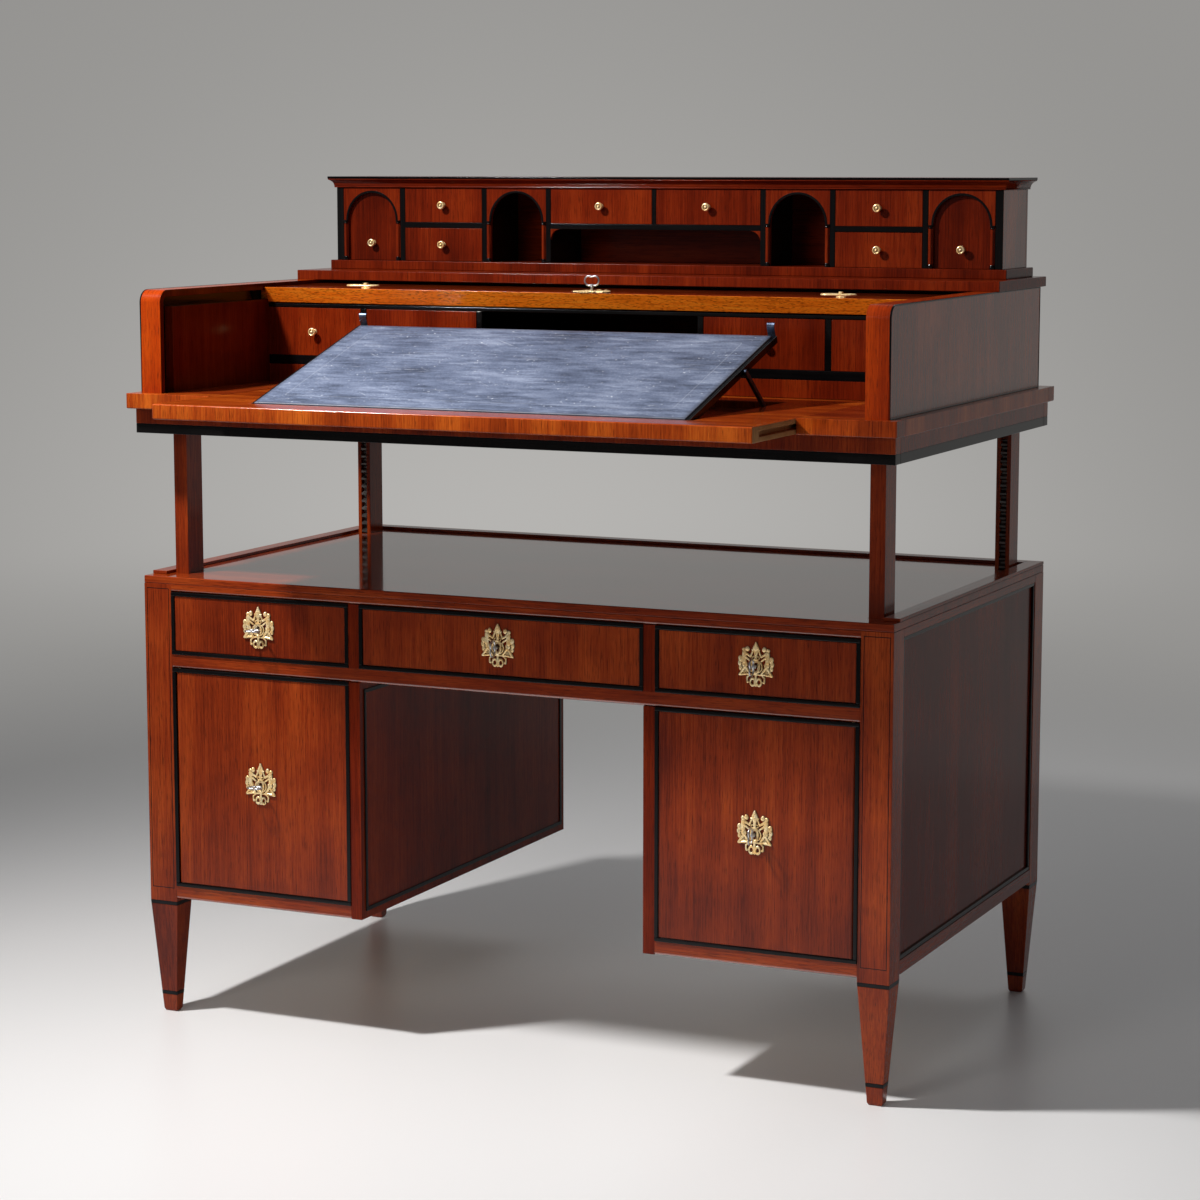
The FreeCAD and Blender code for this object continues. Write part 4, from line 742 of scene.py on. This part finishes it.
# the gallery's ends take the side finish with its painted light
tint(gallery, sideLitWood, lambda mid, way: (np.abs(mid[:, 0]) > galleryEnd) & (np.abs(way[:, 0]) > 0.9))
arches = solidsOf("gallery_arches")
plates = [a for a in arches if np.ptp(a[0][:, 2]) > 0.1]
spandrels = [a for a in arches if np.ptp(a[0][:, 2]) < 0.03]
nicheColumns, nicheTrim = [], []
for p, f in plates:
    outline, shafts, trim, band = archParts(p.min(0), p.max(0), p[:, 1].min())
    nicheColumns += shafts
    nicheTrim += trim + [band]
addWood("gallery_arch_plates", plates + spandrels + nicheColumns, innerWood, "lift", "gallery_arches", "z", 0.35)
addWood("gallery_arch_trim", nicheTrim, ebony, "lift", "gallery_arches", None, 0.2)
print("gallery made")

# cast lock plate: two winged figures hold a shield under a cone, over a knotted ribbon; mm from the keyhole,
# mirrored. A form has its place, level, height and width of its dome and, where it is fluted, pitch, way and depth
plateForms = [
    ("bar", (0, 26.8, 0, 34.6, 5.3, 1.5), 1.2, 2.2, 4.0, (2.6, 0.0, 1.0, 0.35)),  # cone
    ("bar", (0, 23.6, 5.8, 23.8, 1.4, 1.4), 1.4, 1.4, 1.4),  # its cup
    ("bar", (0, 21.6, 0, 11.6, 3.8, 1.5), 1.1, 1.6, 2.4),
    ("bar", (5.0, 21.8, 8.2, 13.6, 1.5, 1.7), 1.2, 1.5, 1.7),  # raised arms
    ("bar", (8.2, 13.6, 16.6, 19.0, 1.7, 2.4), 1.2, 1.6, 2.2),
    ("oval", (13.0, 24.9, 3.4, 4.2, -0.2), 1.4, 2.4, 3.3),  # smooth heads
    ("oval", (18.4, 23.2, 3.6, 3.2, 0.3), 1.0, 1.5, 2.5, (1.6, 0.3, 0.95, 0.2)),
    ("bar", (17.8, 18.6, 18.0, 5.6, 3.9, 3.4), 1.3, 2.0, 3.3),  # bodies
    ("bar", (16.6, 13.6, 8.8, 7.8, 1.8, 1.5), 2.0, 1.3, 1.6),
    ("oval", (17.0, 1.6, 4.4, 4.8, 0.1), 1.2, 1.8, 3.4, (2.2, 0.9, 0.4, 0.25)),
    ("oval", (23.6, 9.8, 3.9, 5.0, -0.35), 0.9, 1.4, 2.5, (2.0, 0.8, -0.6, 0.3)),  # wings
    ("oval", (25.2, 3.2, 3.1, 4.4, -0.1), 0.9, 1.3, 2.2, (1.8, 0.7, -0.7, 0.3)),
    ("oval", (24.0, -3.2, 2.9, 4.0, 0.15), 0.8, 1.3, 2.2, (1.8, 0.7, -0.7, 0.3)),
    ("bar", (16.4, -0.6, 25.2, -13.2, 2.2, 1.9), 1.4, 1.7, 1.9),  # hems of the skirts
    ("bar", (16.4, -0.6, 9.0, -11.2, 2.2, 1.7), 1.4, 1.7, 1.8),
    ("bar", (9.0, -11.6, 25.2, -13.6, 1.6, 1.9), 1.3, 1.5, 1.7),
    ("bar", (16.6, -4.0, 17.0, -10.0, 2.4, 4.6), 1.0, 0.4, 2.0, (2.3, 1.0, 0.1, 0.35)),
    ("oval", (0, -0.8, 10.8, 9.9, 0), 0.9, 0.3, 2.0),
    ("loop", (0, -0.8, 10.0, 9.2, 1.1), 1.5, 0.9, 1.1),  # shield
    ("oval", (0, 0, 6.6, 10.6, 0), 1.4, 0.8, 2.0),
    ("loop", (0, 0, 5.9, 9.8, 0.95), 2.4, 0.8, 0.95),
    ("loop", (3.5, 12.0, 2.1, 2.1, 0.9), 1.6, 0.9, 0.9),
    ("bar", (0, -11.6, 9.2, -12.8, 1.6, 1.6), 1.7, 1.0, 1.6),
    ("loop", (5.0, -23.6, 3.6, 5.0, 1.5), 1.2, 1.3, 1.5),
    ("bar", (0, -12.0, 0, -28.6, 2.0, 1.9), 1.2, 1.3, 1.7),  # knot
    ("bar", (9.0, -12.8, 13.6, -17.0, 1.5, 1.5), 1.1, 1.3, 1.5),
    ("bar", (13.6, -17.0, 13.4, -22.6, 1.5, 1.5), 1.1, 1.3, 1.5),
    ("oval", (12.5, -23.6, 2.3, 2.2, 0), 1.2, 1.6, 2.2)]
plateLook = {"step": 0.5, "edge": 0.9, "halfWide": 29.0, "low": -36.0, "high": 40.0,
    "hole": (0, 2.4, 0, -5.2, 2.6, 1.7), "shade": 5, "shadeDeep": 0.32}


def barField(x, z, ax, az, bx, bz, ra, rb):
    # distance to a bar from a to b whose radius runs from ra to rb
    t = np.clip(((x - ax) * (bx - ax) + (z - az) * (bz - az)) / ((bx - ax) ** 2 + (bz - az) ** 2), 0, 1)
    return np.hypot(x - ax - t * (bx - ax), z - az - t * (bz - az)) - ra - t * (rb - ra)


def ovalField(x, z, cx, cz, rx, rz, lean):
    # distance to a leaning oval, close to its edge
    c, s = math.cos(lean), math.sin(lean)
    u, v = (x - cx) * c + (z - cz) * s, (z - cz) * c - (x - cx) * s
    return (np.hypot(u / rx, v / rz) - 1) * min(rx, rz)


def plateField(x, z):
    # distance to the outline, below zero inside it, and the height of the relief: the highest of the domed forms
    x = np.abs(x)
    far, high = np.full(x.shape, 99.0), np.zeros(x.shape)
    for kind, numbers, level, dome, width, *flutes in plateForms:
        if kind == "bar":
            d = barField(x, z, *numbers)
        elif kind == "oval":
            d = ovalField(x, z, *numbers)
        else:
            d = np.abs(ovalField(x, z, *numbers[:4], 0)) - numbers[4]
        inward = np.clip(-d / width, 0, 1)
        rise = level + dome * np.sqrt(1 - (1 - inward) ** 2)
        for pitch, ux, uz, deep in flutes:
            rise = rise + deep * np.cos(2 * math.pi * (x * ux + z * uz) / pitch) * inward
        far, high = np.minimum(far, d), np.where(d < 0, np.maximum(high, rise), high)
    return np.maximum(far, -barField(x, z, *plateLook["hole"])), high


def platePattern():
    step = plateLook["step"]
    x, z = np.meshgrid(np.arange(-plateLook["halfWide"], plateLook["halfWide"] + step / 2, step),
                       np.arange(plateLook["low"], plateLook["high"], step), indexing="ij")
    for again in (0, 1):  # points near the outline move onto it
        d, high = plateField(x, z)
        gx, gz = np.gradient(d, step)
        near = (np.abs(d) < 0.72 * step) / np.maximum(gx ** 2 + gz ** 2, 0.3)
        x, z = x - near * d * gx, z - near * d * gz
    d, high = plateField(x, z)
    inside = d < 0.2 * step
    keep = inside[1:, 1:] & inside[:-1, 1:] & inside[1:, :-1] & inside[:-1, :-1]
    high = np.where(d > -0.05, plateLook["edge"], np.maximum(high, plateLook["edge"]))
    # painted shade: a point lower than its blurred surroundings is darkened
    mean = high.copy()
    for turn in range(plateLook["shade"]):
        mean = (mean + np.roll(mean, 1, 0) + np.roll(mean, -1, 0) + np.roll(mean, 1, 1) + np.roll(mean, -1, 1)) / 5
    return x * mm, z * mm, high * mm, keep, np.clip((mean - high) / plateLook["shadeDeep"], 0, 1)


plateX, plateZ, plateHigh, plateKeep, plateShade = platePattern()


def addLockPlate(name, body, stands, place):
    # place gives x, y, z from across, along and out
    shell = sheetMesh(place(plateX, plateZ, plateHigh), place(plateX, plateZ, 0 * plateHigh), plateKeep)
    obj = addPiece(name, shell, gilt, body, stands, clean=False, sharp=50)
    # the darkening between the raised forms is painted shade
    deep = np.repeat(plateShade[..., None], 3, 2)
    putAttribute(obj, "recess", "FLOAT", sheetMesh(deep, 0 * deep + 1, plateKeep)[0][:, 0])


keyLook = {"bowWide": 12.3, "bowDeep": 9.2, "notch": 0.32, "notchWide": 0.36, "rod": 1.35, "shank": 1.9, "collar": 3.0,
    "tail": -6.0}


def addKey(name, body, origin, across, out, proud):
    # bow: u = a cos t, v = b sin t, pinched near v's two ends so that it turns kidney-shaped
    t = np.linspace(0, 2 * math.pi, 56, endpoint=False)
    deep, rod, r, c = (keyLook[k] for k in ("bowDeep", "rod", "shank", "collar"))
    pinch = 1 - keyLook["notch"] * np.exp(-(np.cos(t) / keyLook["notchWide"]) ** 2)
    centre = proud - deep - rod
    bow = np.stack([keyLook["bowWide"] * np.cos(t), 0 * t, centre + deep * np.sin(t) * pinch], -1)
    root = centre - deep * (1 - keyLook["notch"])
    shank = turned([(r, keyLook["tail"]), (r, root - 4.2), (c, root - 3.8), (c, root - 2.8), (r, root - 2.4),
                    (r, root - 0.9), (c * 0.9, root - 0.5), (c * 0.8, root + 0.7)], 20)
    shells = (tube(bow, rod, 10, True, up=(0, 1, 0)), shank)
    parts = [placed((p * mm, f), origin, across, np.cross(across, out), out) for p, f in shells]
    addPiece(name + "_bow", parts, steel, body, name)


for name in lockedFronts:
    face = boxOf(name)[0][1]
    lo, hi = boxOf(name + "_key")
    x, z = ((lo + hi) / 2)[::2]
    addLockPlate(name + "_lock_plate", bodyOf[name], name + "_escutcheon",
                 lambda u, v, h: np.stack([x + u, face - h, z + v], -1))
    across = (1, 0, 0) if hi[0] - lo[0] > hi[2] - lo[2] else (0, 0, 1)
    addKey(name + "_key", bodyOf[name + "_key"], (x, face, z), across, (0, -1, 0), (face - lo[1]) / mm)

flapTop = boxOf("writing_flap")[1][2]
keyLo, keyHi = boxOf("flap_key")
keyX, keyY = ((keyLo + keyHi) / 2)[:2]
addLockPlate("flap_lock_plate", "flap", "flap_mounts",
             lambda u, v, h: np.stack([keyX + u, keyY + v, flapTop + h], -1))
addKey("flap_key", "flap_key", (keyX, keyY, flapTop), (1, 0, 0), (0, 0, 1), (keyHi[2] - flapTop) / mm)

handleLook = {"rose": [(8.2, 0.0), (8.2, 0.5), (7.2, 1.1), (6.0, 1.0), (5.2, 1.5), (4.4, 1.9)], "thin": 0.8,
    "postEase": 1.2}
for name in ("left_flap_handle", "right_flap_handle"):
    # two half circles and two straight bars between them
    lo, hi = boxOf(name)
    rod, bend = (hi[2] - lo[2]) / 2, (hi[1] - lo[1] - (hi[2] - lo[2])) / 2
    straight = (hi[0] - lo[0]) / 2 - bend - rod
    a = np.linspace(-math.pi / 2, math.pi / 2, 20)
    right, left = ((lo + hi) / 2 + np.stack([s * (straight + bend * np.cos(a)), bend * np.sin(a) * s, 0 * a], -1)
                   for s in (1, -1))
    backBar, frontBar = (np.linspace(p, q, 8)[1:-1] for p, q in ((right[-1], left[0]), (left[-1], right[0])))
    path = np.concatenate([right, backBar, left, frontBar])
    addPiece(name + "_oval", tube(path, rod, 12, True, handleLook["thin"]), gilt, bodyOf[name], name)
posts = solidsOf("flap_mounts")[1:]
rosePoints, roseFaces = turned(handleLook["rose"])
roses = [(rosePoints * mm + [*((p.min(0) + p.max(0)) / 2)[:2], flapTop], roseFaces) for p, f in posts]
pins = [eased(p, f, handleLook["postEase"] * mm) for p, f in posts]
addPiece("flap_handle_posts", pins + roses, gilt, "flap", "flap_mounts", sharp=50)
print("locks and handles made")

# leather sheet: a grid over the slope's own plane, its edge turned down
slopeLook = {"tilt": 17.0, "edge": 1.2, "wave": 0.12, "waves": (41, 57, 13), "cells": (90, 46), "strutEase": 0.8}


def slopeAxes():
    t = math.radians(slopeLook["tilt"])
    return np.array([1.0, 0, 0]), np.array([0, math.cos(t), math.sin(t)]), np.array([0, -math.sin(t), math.cos(t)])


def leatherSheet():
    across, along, up = slopeAxes()
    p = solidsOf("slope_leather")[0][0]
    (u0, u1), (v0, v1), (n0, n1) = ((q.min(), q.max()) for q in (p @ across, p @ along, p @ up))
    e = slopeLook["edge"] * mm
    us, vs = (np.r_[a, a + e / 3, np.linspace(a + e, b - e, n), b - e / 3, b]
              for (a, b), n in zip(((u0, u1), (v0, v1)), slopeLook["cells"]))
    u, v = np.meshgrid(us, vs, indexing="ij")

    def rimAt(u, v):
        return np.minimum(np.minimum(u - u0, u1 - u), np.minimum(v - v0, v1 - v))

    def put(n):
        return u[..., None] * across + v[..., None] * along + n[..., None] * up

    inset = rimAt(u, v)
    drop = e * (1 - np.sqrt(1 - (1 - np.clip(inset / e, 0, 1)) ** 2))
    a, b, c = slopeLook["waves"]
    high = n1 - drop + slopeLook["wave"] * mm * np.sin(u * a) * np.sin(v * b + u * c) * (inset > 2 * e)
    shell = sheetMesh(put(high), put(0 * u + n0))
    obj = addPiece("slope_leather_sheet", shell, leather, "slope", "slope_leather", clean=False, sharp=60)
    local = shell[0] @ np.stack([across, along, up], 1)
    putAttribute(obj, "sheetAt", "FLOAT_VECTOR", local - [u0, v0, n1])
    putAttribute(obj, "sheetRim", "FLOAT", rimAt(local[:, 0], local[:, 1]))


leatherSheet()

clipLook = {"path": [(1.25, -11.0), (1.25, -4.0), (1.1, 2.0), (0.5, 7.0), (-0.1, 11.0), (0.0, 14.5), (1.0, 17.3),
    (2.6, 18.9), (4.3, 19.0), (5.4, 17.9)], "thick": 1.3}


def slopeClips():
    # a strip bent along its path: two faces half a thickness either side of it
    across, along, up = slopeAxes()
    board = solidsOf("slope_board")[0][0]
    top, back = (board @ up).max(), (board @ along).max()
    run = np.array(clipLook["path"])
    fine = np.linspace(0, len(run) - 1, 40)
    run = np.stack([np.interp(fine, np.arange(len(run)), run[:, k]) for k in (0, 1)], -1) * mm
    side = unit(np.gradient(run, axis=0))[:, ::-1] * (-1, 1) * clipLook["thick"] * mm / 2
    parts = []
    for p, f in solidsOf("slope_clips"):
        x = np.array([p[:, 0].min(), p[:, 0].max()])
        lines = [(back + q[:, :1]) * along + (top + q[:, 1:]) * up for q in (run + side, run - side)]
        sheets = (x[None, :, None] * across + q[:, None] for q in lines)
        parts.append(sheetMesh(*sheets))
    addPiece("slope_clip_strips", parts, blued, "slope", "slope_clips", sharp=50)


slopeClips()
strut = [eased(p, f, slopeLook["strutEase"] * mm) for p, f in solidsOf("slope_strut")]
addPiece("slope_strut_bar", strut, blued, "strut", "slope_strut")
print("slope made")

for name, finish in (("post_racks", rackSteel), ("front_lift_shaft", steel), ("rear_lift_shaft", steel),
                     ("link_shaft", steel), ("bearings_and_pivots", gilt)):
    nodes[name].data.materials.clear()
    nodes[name].data.materials.append(finish)

# the round studio floor: flat, then curving up into a wall all round; far from the desk it glows grey as a backdrop,
# with a painted pool of light near the patch and painted shade in front
studio = {
    "flat": 6.2, "curve": 2.2, "wall": 2.6, "colour": (0.8, 0.8, 0.805), "rough": 0.34,
    "backdrop": (0.3, 0.294, 0.284), "from": 1.3, "to": 4.6,
    "patch": (-3.0, 5.9, 0.2), "paintedPoolHigh": 1.55, "paintedPoolWide": 3.4,
    "frontPaintedShade": 0.45, "frontFrom": 1.4, "frontTo": 3.2}


def studioFloor():
    t = np.linspace(0, math.pi / 2, 24)
    r = np.r_[0.0, 2.0, studio["flat"] + studio["curve"] * np.sin(t), studio["flat"] + studio["curve"]]
    z = np.r_[0.0, 0.0, studio["curve"] * (1 - np.cos(t)), studio["curve"] + studio["wall"]]
    a = np.linspace(0, 2 * math.pi, 96, endpoint=False)
    r, z = r[:, None], z[:, None]
    mesh = newMesh("studioFloor", *grid(np.stack([r * np.cos(a), r * np.sin(a), z + 0 * a], -1), wrapV=True))
    mesh.shade_smooth()
    mat, tree, skin = newFinish("studio paper")
    setSockets(tree, skin, {"Base Color": (*studio["colour"], 1), "Roughness": studio["rough"]})
    at = addNode(tree, "TexCoord", {}).outputs["Object"]
    out = addNode(tree, "VectorMath", {0: at}, operation="LENGTH").outputs["Value"]
    apart = addNode(tree, "VectorMath", {0: at, 1: studio["patch"]}, operation="DISTANCE").outputs["Value"]
    ahead = addNode(tree, "SeparateXYZ", {0: at}).outputs["Y"]
    soft = {"interpolation_type": "SMOOTHSTEP"}
    # painted shade on the front of the backdrop, and a painted pool of light round the patch
    frontShade = spread(tree, ahead, -studio["frontTo"], -studio["frontFrom"], studio["frontPaintedShade"], 1.0)
    patch = spread(tree, apart, 0.0, studio["paintedPoolWide"], studio["paintedPoolHigh"], 1.0, **soft)
    far = spread(tree, out, studio["from"], studio["to"], 0.0, 1.0, **soft)
    path = addNode(tree, "LightPath", {}).outputs
    seen = weighed(tree, [(path["Is %s Ray" % k], 1.0) for k in ("Camera", "Glossy", "Transmission")])
    glow = addNode(tree, "Emission", {"Color": (*studio["backdrop"], 1), "Strength": times(tree, frontShade, patch)})
    both = addNode(tree, "MixShader", {"Fac": times(tree, far, seen, use_clamp=True), 1: skin.outputs[0],
                                       2: glow.outputs[0]})
    tree.links.new(both.outputs[0], tree.nodes["Material Output"].inputs[0])
    mesh.materials.append(mat)
    obj = newObject("studioFloor", mesh)


studioFloor()

# round lamps: place, aim, size in metres, power in watts, colour, beam in degrees, and if mirrors show them
lamps = {
    "key": ((-1.1, -1.05, 2.5), (0.7, -0.6, 0.1), 0.2, 45, (1.0, 0.98, 0.96), 120, True),
    "front": ((-0.9, -4.6, 2.4), (0, 0, 0.7), 1.6, 5.5, (1.0, 0.97, 0.93), 70, False),
    "rear": ((-1.2, 4.6, 1.3), (0, 0.3, 0.8), 1.6, 3.0, (1.0, 1.0, 1.0), 70, False),
    "high": ((0.5, 2.8, 4.4), (0, 0.1, 0.8), 2.4, 20, (1.0, 1.0, 1.0), 180, True)}
for name, (spot, aim, size, power, colour, beam, mirrored) in lamps.items():
    lamp = bpy.data.lights.new(name, "AREA")
    lamp.shape, lamp.size, lamp.energy, lamp.color, lamp.spread = "DISK", size, power, colour, math.radians(beam)
    obj = newObject(name, lamp)
    way = np.subtract(aim, spot)
    obj.location = spot
    flat = math.hypot(way[0], way[1])
    obj.rotation_euler = (math.atan2(flat, -way[2]), 0, math.atan2(way[1], way[0]) - math.pi / 2)
    obj.visible_camera, obj.visible_glossy = False, mirrored

worldLook = {"Color": (0.92, 0.95, 1.0, 1), "Strength": 0.1}
scene.world = bpy.data.worlds.new("world")
scene.world.use_nodes = True
sky = scene.world.node_tree
setSockets(sky, sky.nodes["Background"], worldLook)

cameraLook = {"lens": 92.17, "sensor": 36.0, "spot": (2.0654, -4.3655, 1.3651), "turn": (81.88, 0, 24.87)}
lens = bpy.data.cameras.new("camera")
lens.lens, lens.sensor_width = cameraLook["lens"], cameraLook["sensor"]
camera = newObject("camera", lens)
camera.location = cameraLook["spot"]
camera.rotation_euler = [math.radians(v) for v in cameraLook["turn"]]
bpy.context.scene.camera = camera
bpy.context.scene.view_settings.view_transform = "Standard"
print("light and camera set")
